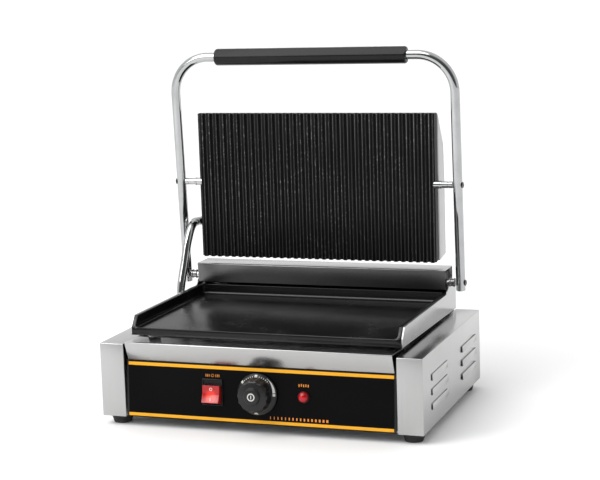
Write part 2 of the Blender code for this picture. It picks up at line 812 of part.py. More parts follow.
def torsion_spring(side):
    """Coil around the shaft with one leg towards the back of the cover."""
    coil = HINGE_SHAFT_RADIUS + SPRING_WIRE + 2 * GAP
    turns, steps, length = 7, 8, 0.028
    start = 0.1400
    points = []
    for k in range(turns * steps + 1):
        angle = 2 * math.pi * k / steps
        x = side * (start + length * k / (turns * steps))
        points.append((x, HINGE_Y + coil * math.cos(angle), HINGE_HEIGHT + coil * math.sin(angle)))
    first = (side * start, HINGE_Y + coil, HINGE_HEIGHT - 0.0160)
    last = (side * (start + length), HINGE_Y + coil, HINGE_HEIGHT + 0.0110)
    item = pipe(f"torsion_spring_{side_name(side)}", [first, *points, last], SPRING_WIRE)
    return keep(item, "spring")


def shaft_collar(side):
    """Collar between the cheek and the arm, with a groove round it."""
    inner = HINGE_SHAFT_RADIUS + GAP
    profile = [
        (inner, 0.0080), (0.0066, 0.0080), (0.0066, 0.0052), (0.0056, 0.0046), (0.0056, 0.0034),
        (0.0066, 0.0028), (0.0066, 0.0000), (inner, 0.0000),
    ]
    item = turned(f"shaft_collar_{side_name(side)}", profile, 24, closed=True)
    item.rotation_euler = (0.0, math.pi / 2, 0.0)
    item.location = (side * 0.1880 - 0.0040, HINGE_Y, HINGE_HEIGHT)
    return keep(item, "polished")


# ---- bail ------------------------------------------------------------------------------------------


def bail_route():
    """Centre line of the bent tube: up one arm, across the top and down the other."""
    def lay(x, distance):
        return (x, *arm_point(distance))

    route = [lay(-ARM_X, -ARM_TAIL)]
    bend_x = ARM_X - BEND_RADIUS
    bend_up = BAR_DISTANCE - BEND_RADIUS
    for u, v in circle(-bend_x, bend_up, BEND_RADIUS, 8, math.pi, -math.pi / 2):
        route.append(lay(u, v))
    for u, v in circle(bend_x, bend_up, BEND_RADIUS, 8, math.pi / 2, -math.pi / 2):
        route.append(lay(u, v))
    route.append(lay(ARM_X, -ARM_TAIL))
    return route


def bail_tube():
    """Chromed tube, drilled across for the hinge and platen screws."""
    item = pipe("bail_tube", bail_route(), ARM_RADIUS, 4)
    for side in (-1, 1):
        for label, (where_y, where_z) in ARM_HOLES:
            tool = bar(
                f"bail_drilling_{label}_{side_name(side)}",
                (side * (ARM_X - 0.0200), where_y, where_z),
                (side * (ARM_X + 0.0200), where_y, where_z),
                SCREW_RADIUS + GAP, 16,
            )
            cut(item, tool)
    place_on_axis(item, (0.0, HINGE_Y, HINGE_HEIGHT))
    return keep(item, "polished")


def bail_grip():
    """Moulded grip over the top bar."""
    half = GRIP_LENGTH / 2
    inner = ARM_RADIUS + GAP
    profile = [
        (inner, half), (GRIP_RADIUS - 0.0030, half), (GRIP_RADIUS - 0.0009, half - 0.0009),
        (GRIP_RADIUS, half - 0.0030), (GRIP_RADIUS, -half + 0.0030), (GRIP_RADIUS - 0.0009, -half + 0.0009),
        (GRIP_RADIUS - 0.0030, -half), (inner, -half),
    ]
    item = turned("bail_grip", profile, 28, closed=True)
    item.rotation_euler = (0.0, math.pi / 2, 0.0)
    item.location = (0.0, *arm_point(BAR_DISTANCE))
    return keep(item, "bakelite")


def pivot_rod(side):
    """Rod from the arm into the platen's boss."""
    item = bar(
        f"pivot_rod_{side_name(side)}",
        (side * 0.1706, PIVOT_Y, PIVOT_Z),
        (side * SHAFT_HALF, PIVOT_Y, PIVOT_Z),
        ROD_RADIUS, 24,
    )
    drill_end(item, side, PIVOT_Y, PIVOT_Z)
    return keep(item, "polished")


def arm_screw(label, where, side):
    """Domed screw through the arm into the shaft or rod behind it."""
    where_y, where_z = where
    head = ARM_X + ARM_RADIUS + GAP
    item = turned(
        f"arm_screw_{label}_{side_name(side)}",
        [
            (0.0, 0.0015), (0.0022, 0.0014), (0.0037, 0.0010), (0.0042, 0.0), (SCREW_RADIUS, 0.0),
            (SCREW_RADIUS, SHAFT_HALF - 0.0070 - head), (0.0, SHAFT_HALF - 0.0070 - head),
        ],
        20,
    )
    item.rotation_euler = (0.0, side * math.pi / 2, 0.0)
    item.location = (side * head, where_y, where_z)
    return keep(item, "polished")


# ---- platen ----------------------------------------------------------------------------------------


def upper_griddle():
    """Ribbed casting with a boss at each side for the pivot rods and a pocket for its element."""
    item = block(
        "upper_griddle",
        (-PLATEN_HALF, y(RIB_ROOT), PLATEN_BOTTOM),
        (PLATEN_HALF, y(CASTING_BACK), PLATEN_TOP),
    )
    pitch = 2 * PLATEN_HALF / RIB_COUNT
    ribs = []
    for k in range(RIB_COUNT):
        left = -PLATEN_HALF + pitch * k
        ribs.append([
            (left + 0.10 * pitch, y(RIB_ROOT) + 0.0005), (left + 0.10 * pitch, y(RIB_ROOT)),
            (left + 0.32 * pitch, y(RIB_TIP)), (left + 0.68 * pitch, y(RIB_TIP)),
            (left + 0.90 * pitch, y(RIB_ROOT)), (left + 0.90 * pitch, y(RIB_ROOT) + 0.0005),
        ])
    height = PLATEN_TOP - PLATEN_BOTTOM - 2 * GAP
    join(item, plate("platen_ribs", ribs, height, "xy", (0.0, 0.0, (PLATEN_TOP + PLATEN_BOTTOM) / 2)))
    cut(item, block("upper_pocket", (-0.156, y(0.2550), 0.1950), (0.156, y(0.2700), 0.3660)))
    for side in (-1, 1):
        name = side_name(side)
        join(item, bar(
            f"pivot_boss_{name}", (side * 0.1650, PIVOT_Y, PIVOT_Z), (side * 0.1780, PIVOT_Y, PIVOT_Z),
            BOSS_RADIUS, 24,
        ))
        cut(item, bar(
            f"pivot_bore_{name}", (side * 0.1702, PIVOT_Y, PIVOT_Z), (side * 0.1900, PIVOT_Y, PIVOT_Z),
            ROD_RADIUS + GAP, 24,
        ))
    place_on_axis(item, (0.0, PIVOT_Y, PIVOT_Z))
    return keep(item, "iron")


def cover_outline(inset):
    """Side outline of the upper cover, drawn in by an inset."""
    return [
        (y(CASTING_BACK) + GAP, PLATEN_TOP - 0.0007 - 1.9 * inset),
        (y(0.2900) - inset, 0.3350 - 0.3 * inset),
        (y(COVER_BACK) - inset, 0.2700), (y(COVER_BACK) - inset, 0.1845 + inset),
        (y(CASTING_BACK) + GAP, PLATEN_BOTTOM + 0.0003 + inset),
    ]


def upper_cover():
    """Pressed stainless cover behind the casting, open towards it."""
    item = plate("upper_cover", [cover_outline(0.0)], 2 * COVER_HALF, "yz", (0.0, 0.0, 0.0))
    inside = cover_outline(SHEET)
    inside[0] = (inside[0][0] - 0.0020, inside[0][1] + 0.0030)
    inside[-1] = (inside[-1][0] - 0.0020, inside[-1][1])
    cut(item, plate("cover_room", [inside], 2 * (COVER_HALF - SHEET), "yz", (0.0, 0.0, 0.0)))
    return keep(item, "brushed")


def upper_element():
    """Tubular element in the casting's pocket."""
    rows = [0.2080 + 0.0480 * k for k in range(4)]
    points = [(x, y(0.2588), row) for x, row in serpentine(0.125, rows)]
    return keep(pipe("upper_element", points, 0.0026), "element")


def upper_clamp_plate():
    """Sheet that holds the upper element in its pocket."""
    edge = rectangle(-0.160, 0.1880, 0.160, 0.3560)
    item = plate("upper_clamp_plate", [edge], 0.0010, "xz", (0.0, y(0.2632), 0.0))
    return keep(item, "zinc")


def upper_insulation():
    """Mineral wool between the clamp plate and the cover."""
    item = block("upper_insulation", (-0.150, y(0.2645), 0.1950), (0.150, y(0.2780), 0.3380))
    return keep(item, "wool")


# ---- conduit for the platen's leads ----------------------------------------------------------------


def conduit():
    """Bright tube that carries the leads from the casing to the platen."""
    points = [(x, y(depth), height) for x, depth, height in CONDUIT_ROUTE]
    return keep(pipe("conduit", points, CONDUIT_RADIUS, 3), "polished")


def conduit_ends():
    """Ferrule on the casing and elbow fitting on the cover's side."""
    x, depth, _ = CONDUIT_ROUTE[-1]
    low = bar(
        "conduit_ferrule", (x, y(depth), BASE_TOP + GAP), (x, y(depth), 0.1200), 0.0072, 20, 0.0068
    )
    keep(low, "polished")
    high = bar(
        "conduit_fitting",
        (-COVER_HALF - GAP, y(0.2720), 0.2275),
        (-0.1782, y(0.2650), 0.2275),
        0.0070, 20, 0.0062,
    )
    cut(high, block("fitting_face", (-COVER_HALF - GAP, y(0.2500), 0.2100), (-0.1500, y(0.2900), 0.2500)))
    keep(high, "polished")


# ---- whole press -----------------------------------------------------------------------------------


def build():
    """Make every sub-part."""
    for side in (-1, 1):
        end_cap(side)
        side_plate(side)
        hinge_bracket(side)
        torsion_spring(side)
        shaft_collar(side)
        pivot_rod(side)
        for label, where in ARM_HOLES:
            arm_screw(label, where, side)
    base_pan()
    top_deck()
    rear_panel()
    cable_gland()
    feet()
    drip_tray()
    tray_shelf()
    terminal_block()
    datum = panel_datum()
    front_panel(datum)
    control_label(datum)
    switch_housing(datum)
    switch_rocker(datum)
    thermostat(datum)
    thermostat_knob(datum)
    lamp(datum)
    lower_griddle()
    griddle_spacers()
    lower_element()
    lower_heat_shield()
    hinge_box()
    hinge_shaft()
    bail_tube()
    bail_grip()
    upper_griddle()
    upper_cover()
    upper_element()
    upper_clamp_plate()
    upper_insulation()
    conduit()
    conduit_ends()


clear_scene()
PARTS = make_collection("panini_press")
CUTTERS = make_collection("cutters")
build()
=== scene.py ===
"""Finished look of a panini press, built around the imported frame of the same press."""

import json
import math

import bpy
from mathutils import Euler, Matrix, Vector


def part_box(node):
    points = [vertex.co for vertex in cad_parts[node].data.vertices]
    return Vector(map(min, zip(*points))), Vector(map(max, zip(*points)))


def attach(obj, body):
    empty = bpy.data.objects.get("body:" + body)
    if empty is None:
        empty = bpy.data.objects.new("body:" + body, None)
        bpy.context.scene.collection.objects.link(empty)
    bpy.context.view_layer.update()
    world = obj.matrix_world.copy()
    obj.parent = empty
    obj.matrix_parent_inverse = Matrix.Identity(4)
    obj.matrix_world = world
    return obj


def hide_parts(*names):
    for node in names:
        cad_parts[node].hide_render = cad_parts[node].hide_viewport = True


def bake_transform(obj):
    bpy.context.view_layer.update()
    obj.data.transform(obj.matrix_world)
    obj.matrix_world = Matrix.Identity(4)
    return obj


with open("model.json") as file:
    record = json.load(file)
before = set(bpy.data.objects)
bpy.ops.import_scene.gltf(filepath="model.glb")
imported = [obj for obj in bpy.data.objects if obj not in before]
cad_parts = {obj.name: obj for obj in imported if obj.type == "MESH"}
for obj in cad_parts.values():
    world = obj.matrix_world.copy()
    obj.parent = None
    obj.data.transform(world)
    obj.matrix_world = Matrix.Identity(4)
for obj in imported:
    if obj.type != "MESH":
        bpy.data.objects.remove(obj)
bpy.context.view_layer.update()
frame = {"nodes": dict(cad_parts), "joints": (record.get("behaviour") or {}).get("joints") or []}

bl_info = {
    "name": "Panini Press Maker", "version": (1, 0, 0), "blender": (4, 5, 0),
    "location": "View3D > Sidebar > Press",
    "description": "Builds the casing, griddles, hinge, bail and controls of a panini press",
    "category": "Add Mesh",
}

SIDES = (-1, 1)
SIDE_NAMES = {-1: "left", 1: "right"}

# ---- places taken from the frame ----

JOINTS = {joint["name"]: joint for joint in frame["joints"]}
HINGE = Vector(JOINTS["lid_hinge"]["pos_m"])
PIVOT = Vector(JOINTS["platen_tilt"]["pos_m"])
KNOB_SEAT = Vector(JOINTS["knob_turn"]["pos_m"])
ROCKER_PIVOT = Vector(JOINTS["switch_rock"]["pos_m"])
PANEL_OUT = Vector(JOINTS["knob_turn"]["axis"]).normalized()
PANEL_UP = Vector((0.0, PANEL_OUT.z, -PANEL_OUT.y))
PANEL_LEAN = math.atan2(PANEL_OUT.z, -PANEL_OUT.y)
PANEL_TURN = Euler((math.pi / 2 - PANEL_LEAN, 0.0, 0.0))
FRONT_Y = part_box("end_cap_right")[0].y
BACK_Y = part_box("end_cap_right")[1].y
BACKWARDS = (0, 1, 0)
SIDEWAYS = (1, 0, 0)
RIB_COUNT = 33
LOUVRE_STARTS = (0.040, 0.193)
LOUVRE_HEIGHTS = (0.0385, 0.0570, 0.0755)
CASING_SCREW_HEIGHTS = (0.026, 0.094)
REAR_SCREW_PLACES = [(x, height) for x in (-0.165, -0.055, 0.055, 0.165) for height in (0.0215, 0.0985)]
HINGE_SCREW_PLACES = [(x, 0.1220) for x in (-0.120, 0.0, 0.120)]
COVER_SCREW_PLACES = [(x, height) for x in (-0.150, 0.150) for height in (0.022, 0.084)]    # over its foot
COOKING_HEIGHT = 0.1245
WALL_HEIGHT = 0.1385
FACET_TURN = math.radians(48)   # the grip's flat leans forward this far
FACET_REACH = 0.86              # and lies at this share of its radius
ROCKER_TILT = math.radians(-11)
NEAR = 0.000001                 # places this close are the same
SMALL_SIDES = 48                # sides of a small turned piece


def middle_of(node):
    """Middle of a frame node's box."""
    low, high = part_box(node)
    return (low + high) / 2


GRIP_MIDDLE = middle_of("bail_grip")
ARM_LENGTH = (GRIP_MIDDLE - HINGE).yz.length
ARM_LEAN = math.atan2(HINGE.y - GRIP_MIDDLE.y, GRIP_MIDDLE.z - HINGE.z)


def on_panel(place):
    """Point of the control panel under a place."""
    return place - PANEL_OUT * (place - KNOB_SEAT).dot(PANEL_OUT)


# ---- settings a user would change ----


def length(name, description, default):
    """A setting that is a length."""
    return bpy.props.FloatProperty(name=name, description=description, default=default, unit="LENGTH")


def tint(name, description, default):
    """A setting that is a colour."""
    return bpy.props.FloatVectorProperty(name=name, description=description, default=default,
                                         subtype="COLOR")


class PressShape(bpy.types.PropertyGroup):
    """Sizes of the modelled pieces."""

    casing_edge: length("Casing Edge", "Radius of the casings' folded edges", 0.0019)
    louvre_lip: length("Louvre Lip", "How far a louvre stands out of the casing", 0.0025)
    louvre_length: length("Louvre Length", "Length of one louvre", 0.076)
    louvre_height: length("Louvre Height", "Height of one louvre", 0.0085)
    rib_depth: length("Rib Depth", "Height of a rib over the groove beside it", 0.0025)
    griddle_wall: length("Griddle Wall", "Thickness of the lower griddle's side walls", 0.0052)
    fillet: length("Fillet", "Radius between cooking surface and walls", 0.0042)
    tube_radius: length("Bail Tube Radius", "Radius of the bail's tube", 0.00635)
    bend_radius: length("Bail Bend Radius", "Radius of the bail's two bends", 0.050)
    grip_radius: length("Grip Radius", "Radius of the moulded grip", 0.0115)
    knob_ribs: bpy.props.IntProperty(
        name="Knob Facets", description="Facets around the knob's cap", default=14, min=6)
    round_sides: bpy.props.IntProperty(
        name="Round Sides", description="Sides of a turned piece", default=64, min=12)


class PressFinish(bpy.types.PropertyGroup):
    """Colours of the materials."""

    steel: tint("Stainless", "Colour of the brushed sheet", (0.46, 0.46, 0.458))
    chrome: tint("Chrome", "Colour of the plated tube", (0.47, 0.475, 0.48))
    enamel: tint("Enamel", "Colour of the black castings", (0.0048, 0.0048, 0.0050))
    amber: tint("Label Stripe", "Colour of the label's stripes", (0.87, 0.42, 0.035))
    lamp: tint("Lamp", "Colour of the indicator lamp", (0.30, 0.002, 0.006))
    rocker: tint("Rocker", "Colour of the lit rocker", (0.55, 0.014, 0.014))


class PressStage(bpy.types.PropertyGroup):
    """Lights, floor and lens."""

    lens: bpy.props.FloatProperty(
        name="Lens", description="Focal length of the camera", default=98.965, unit="CAMERA")
    camera_offset: bpy.props.FloatVectorProperty(
        name="Camera Place", description="Camera from the middle of the casing's front foot line",
        subtype="TRANSLATION", default=(0.732746, -1.866956, 0.574512))
    camera_turn: bpy.props.FloatVectorProperty(
        name="Camera Turn", description="Camera's heading, height angle and roll", subtype="EULER",
        default=(0.344127, 0.162427, 0.031546))
    sky: bpy.props.FloatProperty(
        name="Sky", description="Brightness of the surroundings", default=1.0, min=0.0)
    sun: bpy.props.FloatProperty(
        name="Sun", description="Strength of the large overhead light", default=1.6, min=0.0)


FINISHES = {}

# ---- modelling, as by hand ----


def sizes():
    """The sizes set in the sidebar."""
    return bpy.context.scene.press_shape


def settle():
    """Go to object mode with nothing selected."""
    if bpy.context.mode != "OBJECT":
        bpy.ops.object.mode_set(mode="OBJECT")
    bpy.ops.object.select_all(action="DESELECT")


def choose(piece):
    """Select one piece and make it active."""
    settle()
    piece.select_set(True)
    bpy.context.view_layer.objects.active = piece
    return piece


def rename(piece, name):
    piece.name = name
    piece.data.name = name
    return piece


def freeze(piece, name=None):
    """Put a piece's place, turn and size in its mesh."""
    choose(piece)
    bpy.ops.object.transform_apply(location=True, rotation=True, scale=True)
    return rename(piece, name) if name else piece


def lay(piece, turn, place):
    """Turn a piece, move it and leave it there."""
    piece.rotation_euler = turn
    piece.location = place
    return freeze(piece)


def towards(direction):
    """The turn that lays the Z axis along a direction."""
    return Vector(direction).to_track_quat("Z", "Y").to_euler()


def finish_with(piece, kind, **settings):
    """Add a modifier and apply it."""
    choose(piece)
    step = piece.modifiers.new(kind.lower(), kind)
    for key, value in settings.items():
        setattr(step, key, value)
    bpy.ops.object.modifier_apply(modifier=step.name)
    return piece


def cuboid(name, low, high):
    """A box between two corners, ready to be shaped."""
    settle()
    low, high = Vector(low), Vector(high)
    bpy.ops.mesh.primitive_cube_add(size=1, location=(low + high) / 2, scale=high - low)
    return freeze(bpy.context.active_object, name)


def mark(piece, kind, test):
    """Open edit mode with the vertices, edges or faces selected whose middle and direction pass a test."""
    choose(piece)
    bpy.ops.object.mode_set(mode="EDIT")
    bpy.ops.mesh.select_mode(type=kind)
    bpy.ops.mesh.select_all(action="DESELECT")
    bpy.ops.object.mode_set(mode="OBJECT")
    mesh = piece.data
    if kind == "VERT":
        for item in mesh.vertices:
            item.select = test(item.co, None)
    elif kind == "EDGE":
        for item in mesh.edges:
            first, last = (mesh.vertices[k].co for k in item.vertices)
            item.select = test((first + last) / 2, (last - first).normalized())
    else:
        for item in mesh.polygons:
            item.select = test(item.center, item.normal)
    bpy.ops.object.mode_set(mode="EDIT")


def push(piece, kind, test, shift):
    """Move what passes a test."""
    mark(piece, kind, test)
    bpy.ops.transform.translate(value=shift)
    done()


def everything(piece):
    """Open edit mode with all selected."""
    choose(piece)
    bpy.ops.object.mode_set(mode="EDIT")
    bpy.ops.mesh.select_all(action="SELECT")


def done():
    """Leave edit mode."""
    bpy.ops.object.mode_set(mode="OBJECT")


def draw_out(shift):
    """Extrude the selected region by a shift."""
    bpy.ops.mesh.extrude_region_move(TRANSFORM_OT_translate={"value": tuple(shift)})


def point_outwards(piece):
    """Weld doubled points and turn all faces outwards."""
    everything(piece)
    bpy.ops.mesh.remove_doubles(threshold=0.000005)
    bpy.ops.mesh.normals_make_consistent(inside=False)
    done()
    return piece


def soften(piece, width, segments=3, angle=30.0):
    """Round every edge sharper than an angle."""
    return finish_with(piece, "BEVEL", width=width, segments=segments, limit_method="ANGLE",
                       angle_limit=math.radians(angle))


def turned(name, profile, sides, place=(0, 0, 0), axis=(0, 0, 1), ring=False):
    """A turned piece: a disc drawn up step by step through radii and heights, then laid on its axis."""
    settle()
    radius, height = profile[0]
    bpy.ops.mesh.primitive_circle_add(vertices=sides, radius=radius, fill_type="NGON",
                                      location=(0, 0, height))
    piece = freeze(bpy.context.active_object, name)
    everything(piece)
    for (before, below), (after, above) in zip(profile, profile[1:]):
        draw_out((0, 0, above - below))
        bpy.ops.transform.resize(value=(after / before, after / before, 1), center_override=(0, 0, above))
    done()
    if ring:
        mark(piece, "FACE", lambda middle, _: middle.xy.length < 0.2 * radius)
        bpy.ops.mesh.delete(type="FACE")
        done()
    return lay(point_outwards(piece), towards(axis), place)


def prism(name, outline, low_x, high_x):
    """A piece with a Y-Z outline, drawn along X."""
    settle()
    bpy.ops.mesh.primitive_circle_add(vertices=len(outline), radius=0.01, fill_type="NGON")
    piece = freeze(bpy.context.active_object, name)
    for point, (depth, height) in zip(piece.data.vertices, outline):
        point.co = (low_x, depth, height)
    everything(piece)
    draw_out((high_x - low_x, 0, 0))
    done()
    return point_outwards(piece)


def bent_sheet(name, line, half, thickness, bend=0.0015):
    """A sheet that follows a Y-Z line across X, with rounded bends and edges."""
    settle()
    bpy.ops.mesh.primitive_plane_add(size=1)
    piece = freeze(bpy.context.active_object, name)
    for point in piece.data.vertices:
        depth, height = line[0] if point.co.y < 0 else line[1]
        point.co = (math.copysign(half, point.co.x), depth, height)
    for here, after in zip(line[1:], line[2:]):
        mark(piece, "EDGE", lambda middle, _, at=here: (middle.yz - Vector(at)).length < 1e-6)
        draw_out((0, after[0] - here[0], after[1] - here[1]))
        done()
    bends = [Vector(point) for point in line[1:-1]]
    mark(piece, "EDGE", lambda middle, _: any((middle.yz - at).length < 1e-6 for at in bends))
    bpy.ops.mesh.bevel(offset=bend, segments=4, affect="EDGES")
    done()
    return point_outwards(finish_with(piece, "SOLIDIFY", thickness=thickness, offset=0.0,
                                      use_even_offset=True))


def wire(name, points, radius, round_steps):
    """A round tube or wire along a smooth line of points."""
    settle()
    bpy.ops.curve.primitive_nurbs_path_add()
    line = bpy.context.active_object
    curve = line.data
    curve.splines.clear()
    spline = curve.splines.new("NURBS")
    spline.points.add(len(points) - 1)
    for point, place in zip(spline.points, points):
        point.co = (*place, 1.0)
    spline.order_u = 4
    spline.use_endpoint_u = True
    spline.resolution_u = 5
    curve.dimensions = "3D"
    curve.bevel_depth = radius
    curve.bevel_resolution = round_steps
    curve.use_fill_caps = True
    choose(line)
    bpy.ops.object.convert(target="MESH")
    return point_outwards(freeze(bpy.context.active_object, name))


def gather(pieces, name):
    """Join several pieces into the first."""
    settle()
    for piece in pieces:
        piece.select_set(True)
    bpy.context.view_layer.objects.active = pieces[0]
    bpy.ops.object.join()
    return rename(pieces[0], name)


def paint(piece, finish):
    """Give a piece its material."""
    piece.data.materials.clear()
    piece.data.materials.append(FINISHES[finish])


def smooth(piece, angle):
    """Shade a piece smooth except at edges sharper than an angle."""
    choose(piece)
    bpy.ops.object.shade_smooth_by_angle(angle=math.radians(angle))
    settle()


def fit(piece, body, finish, replaces=(), angle=32.0):
    """Hand a finished piece over to the frame."""
    smooth(piece, angle)
    paint(piece, finish)
    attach(piece, body)
    if replaces:
        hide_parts(*replaces)


# ---- materials ----


def sign(operation, swapped=False):
    """What one of Python's signs does to a Number: it adds a Math node."""
    def add(self, other):
        return self.wiring.math(operation, *((other, self) if swapped else (self, other)))
    return add


class Number:
    """A socket in a sum."""

    def __init__(self, wiring, socket):
        self.wiring = wiring
        self.socket = socket

    __add__ = __radd__ = sign("ADD")
    __mul__ = __rmul__ = sign("MULTIPLY")
    __sub__ = sign("SUBTRACT")
    __rsub__ = sign("SUBTRACT", swapped=True)
    __truediv__ = sign("DIVIDE")


class Wiring:
    """A node tree that is added to."""

    def __init__(self, tree):
        self.tree = tree

    def node(self, kind, settings=None, inputs=None):
        """One node: its settings first, then the values or links of its sockets."""
        made = self.tree.nodes.new(kind)
        for key, value in (settings or {}).items():
            setattr(made, key, value)
        for key, value in (inputs or {}).items():
            self.feed(made.inputs[key], value)
        return made

    def feed(self, socket, value):
        """Link or set one socket."""
        if isinstance(value, Number):
            value = value.socket
        if isinstance(value, bpy.types.NodeSocket):
            self.tree.links.new(value, socket)
        else:
            socket.default_value = value

    def math(self, operation, *values, clamp=False):
        """A Math node as a Number."""
        settings = {"operation": operation, "use_clamp": clamp}
        return Number(self, self.node("ShaderNodeMath", settings, dict(enumerate(values))).outputs[0])

    def most(self, first, *others):
        """The greatest of several Numbers."""
        for other in others:
            first = self.math("MAXIMUM", first, other)
        return first

    def axes(self, vector):
        """The three coordinates of a vector as Numbers."""
        parts = self.node("ShaderNodeSeparateXYZ", None, {0: vector})
        return [Number(self, parts.outputs[k]) for k in range(3)]


class Sheet(Wiring):
    """One material, which is kept under its name among the finishes."""

    def __init__(self, name, **constants):
        self.material = FINISHES[name] = bpy.data.materials.new(name)
        self.material.use_nodes = True
        super().__init__(self.material.node_tree)
        self.shader = self.tree.nodes["Principled BSDF"]
        self.where = self.node("ShaderNodeTexCoord").outputs["Object"]
        self.dress(**constants)

    def mapped(self, scale=1, centre=(0, 0, 0), turn=(0, 0, 0)):
        """Object coordinates seen from a centre, turned and scaled."""
        scale = scale if isinstance(scale, tuple) else (scale, scale, scale)
        seat = self.node("ShaderNodeMapping", {"vector_type": "TEXTURE"}, {
            "Vector": self.where, "Location": centre, "Rotation": turn})
        spread = self.node("ShaderNodeMapping", {"vector_type": "POINT"}, {
            "Vector": seat.outputs["Vector"], "Scale": scale})
        return spread.outputs["Vector"]

    def noise(self, scale, detail=3.0, roughness=0.55):
        """Soft noise, with one scale or a scale for each axis."""
        made = self.node("ShaderNodeTexNoise", {"noise_dimensions": "3D"}, {
            "Vector": self.mapped(scale), "Scale": 1.0, "Detail": detail, "Roughness": roughness})
        return Number(self, made.outputs["Fac"])

    def cells(self, scale):
        """Distance to the nearest of scattered points, for pits and specks."""
        made = self.node("ShaderNodeTexVoronoi", {"feature": "F1"},
                         {"Vector": self.mapped(scale), "Scale": 1.0})
        return Number(self, made.outputs["Distance"])

    def between(self, value, low, high):
        """Nought below one value, one above another, smooth between."""
        made = self.node("ShaderNodeMapRange", {"interpolation_type": "SMOOTHSTEP"}, {
            "Value": value, "From Min": low, "From Max": high})
        return Number(self, made.outputs["Result"])

    def band(self, value, low, high, soft):
        """One inside a band, nought outside it."""
        return self.between(value, low - soft,
                            low + soft) * (1 - self.between(value, high - soft, high + soft))

    def blend(self, factor, first, second):
        """A colour between two colours."""
        made = self.node("ShaderNodeMix", {"data_type": "RGBA"}, {0: factor, 6: first, 7: second})
        return made.outputs[2]

    def tones(self, factor, colour, first, second):
        """A colour between two tones of one colour."""
        return self.blend(factor, shade(colour, first), shade(colour, second))

    def bump(self, height, distance, strength):
        """A bumped normal."""
        inputs = {"Height": height, "Distance": distance, "Strength": strength}
        return self.node("ShaderNodeBump", None, inputs).outputs["Normal"]

    def dress(self, **values):
        """Feed the shader's sockets."""
        for name, value in values.items():
            self.feed(self.shader.inputs[name.replace("_", " ")], value)


def shade(colour, factor=1.0):
    """A colour with alpha, made darker or lighter."""
    return (*(min(1.0, channel * factor) for channel in colour), 1.0)


STROKES = {"X": (9, 3200, 3200), "Y": (3200, 9, 3200), "Z": (3200, 3200, 9)}


def brushed_steel(name, stroke, colour, roughness=0.27, brightness=1.0):
    """Stainless sheet with fine strokes, faint smears and a little unevenness."""
    sheet = Sheet(name, Metallic=1.0)
    fine = sheet.noise(STROKES[stroke], 2.0, 0.6)
    broad = sheet.noise(tuple(0.012 * s + 2 for s in STROKES[stroke]), 3.0, 0.5)
    smear = sheet.noise(26, 4.0, 0.62)
    tone = fine * 0.45 + broad * 0.25 + smear * 0.3
    sheet.dress(
        Base_Color=sheet.tones(sheet.between(tone, 0.30, 0.70), colour, 0.93 * brightness,
                               1.04 * brightness),
        Roughness=fine * 0.06 + smear * 0.07 + (roughness - 0.065),
        Normal=sheet.bump(fine * 0.8 + broad * 0.2, 0.00002, 0.12),
    )


def cover_front(name, colour):
    """The hinge cover's sheet: fine diagonal polish, with its front face painted darker, a painted
    reflection of the dark griddle before it.
    """
    sheet = Sheet(name, Metallic=1.0)
    low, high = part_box("hinge_box")
    _, depth, height = sheet.axes(sheet.where)
    weave = sheet.noise((300, 300, 900), 2.0, 0.5)
    smear = sheet.noise(18, 3.0, 0.6)
    # painted reflection: this mask marks the front face, whose colour is painted darker to stand in for the
    # dark griddle it reflects
    film = (1 - sheet.between(depth, low.y + 0.0022, low.y + 0.0030)) * (
        1 - sheet.between(height, high.z - 0.0009, high.z - 0.0003))
    sheet.dress(
        Base_Color=sheet.blend(film, shade(colour),
                               sheet.tones(weave * 0.6 + smear * 0.4, colour, 0.24, 0.44)),
        Roughness=film * 0.14 + smear * 0.08 + 0.18,
        Normal=sheet.bump(weave, 0.00002, 0.15),
    )


def chrome(name, colour, roughness=0.05):
    """Bright plate with faint smudges and fine scratches."""
    sheet = Sheet(name, Metallic=1.0)
    smudge = sheet.noise(55, 4.0, 0.6)
    scratch = sheet.noise((900, 900, 60), 2.0, 0.7)
    sheet.dress(
        Base_Color=sheet.tones(sheet.between(smudge, 0.35, 0.75), colour, 1, 0.90),
        Roughness=sheet.between(smudge, 0.45, 0.75) * 0.09 + scratch * 0.03 + roughness,
        Normal=sheet.bump(scratch, 0.00001, 0.12),
    )


def enamel(name, colour, roughness=0.22, grain=0.7):
    """Black enamelled casting: orange-peel, fine pits, rubbed places and a haze of old grease."""
    sheet = Sheet(name, Specular_IOR_Level=0.34)
    peel = sheet.noise(620, 2.0, 0.5)
    cloud = sheet.noise(14, 4.0, 0.6)
    pits = sheet.cells(900)
    rubbed = sheet.between(cloud, 0.45, 0.72)
    sheet.dress(
        Base_Color=sheet.tones(rubbed, colour, 1, 2.1),
        Roughness=rubbed * 0.10 + peel * 0.08 + (roughness - 0.06),
        Normal=sheet.bump(peel * 0.6 + sheet.between(pits, 0.0, 0.35) * 0.4, 0.00012 * grain, 0.45),
    )


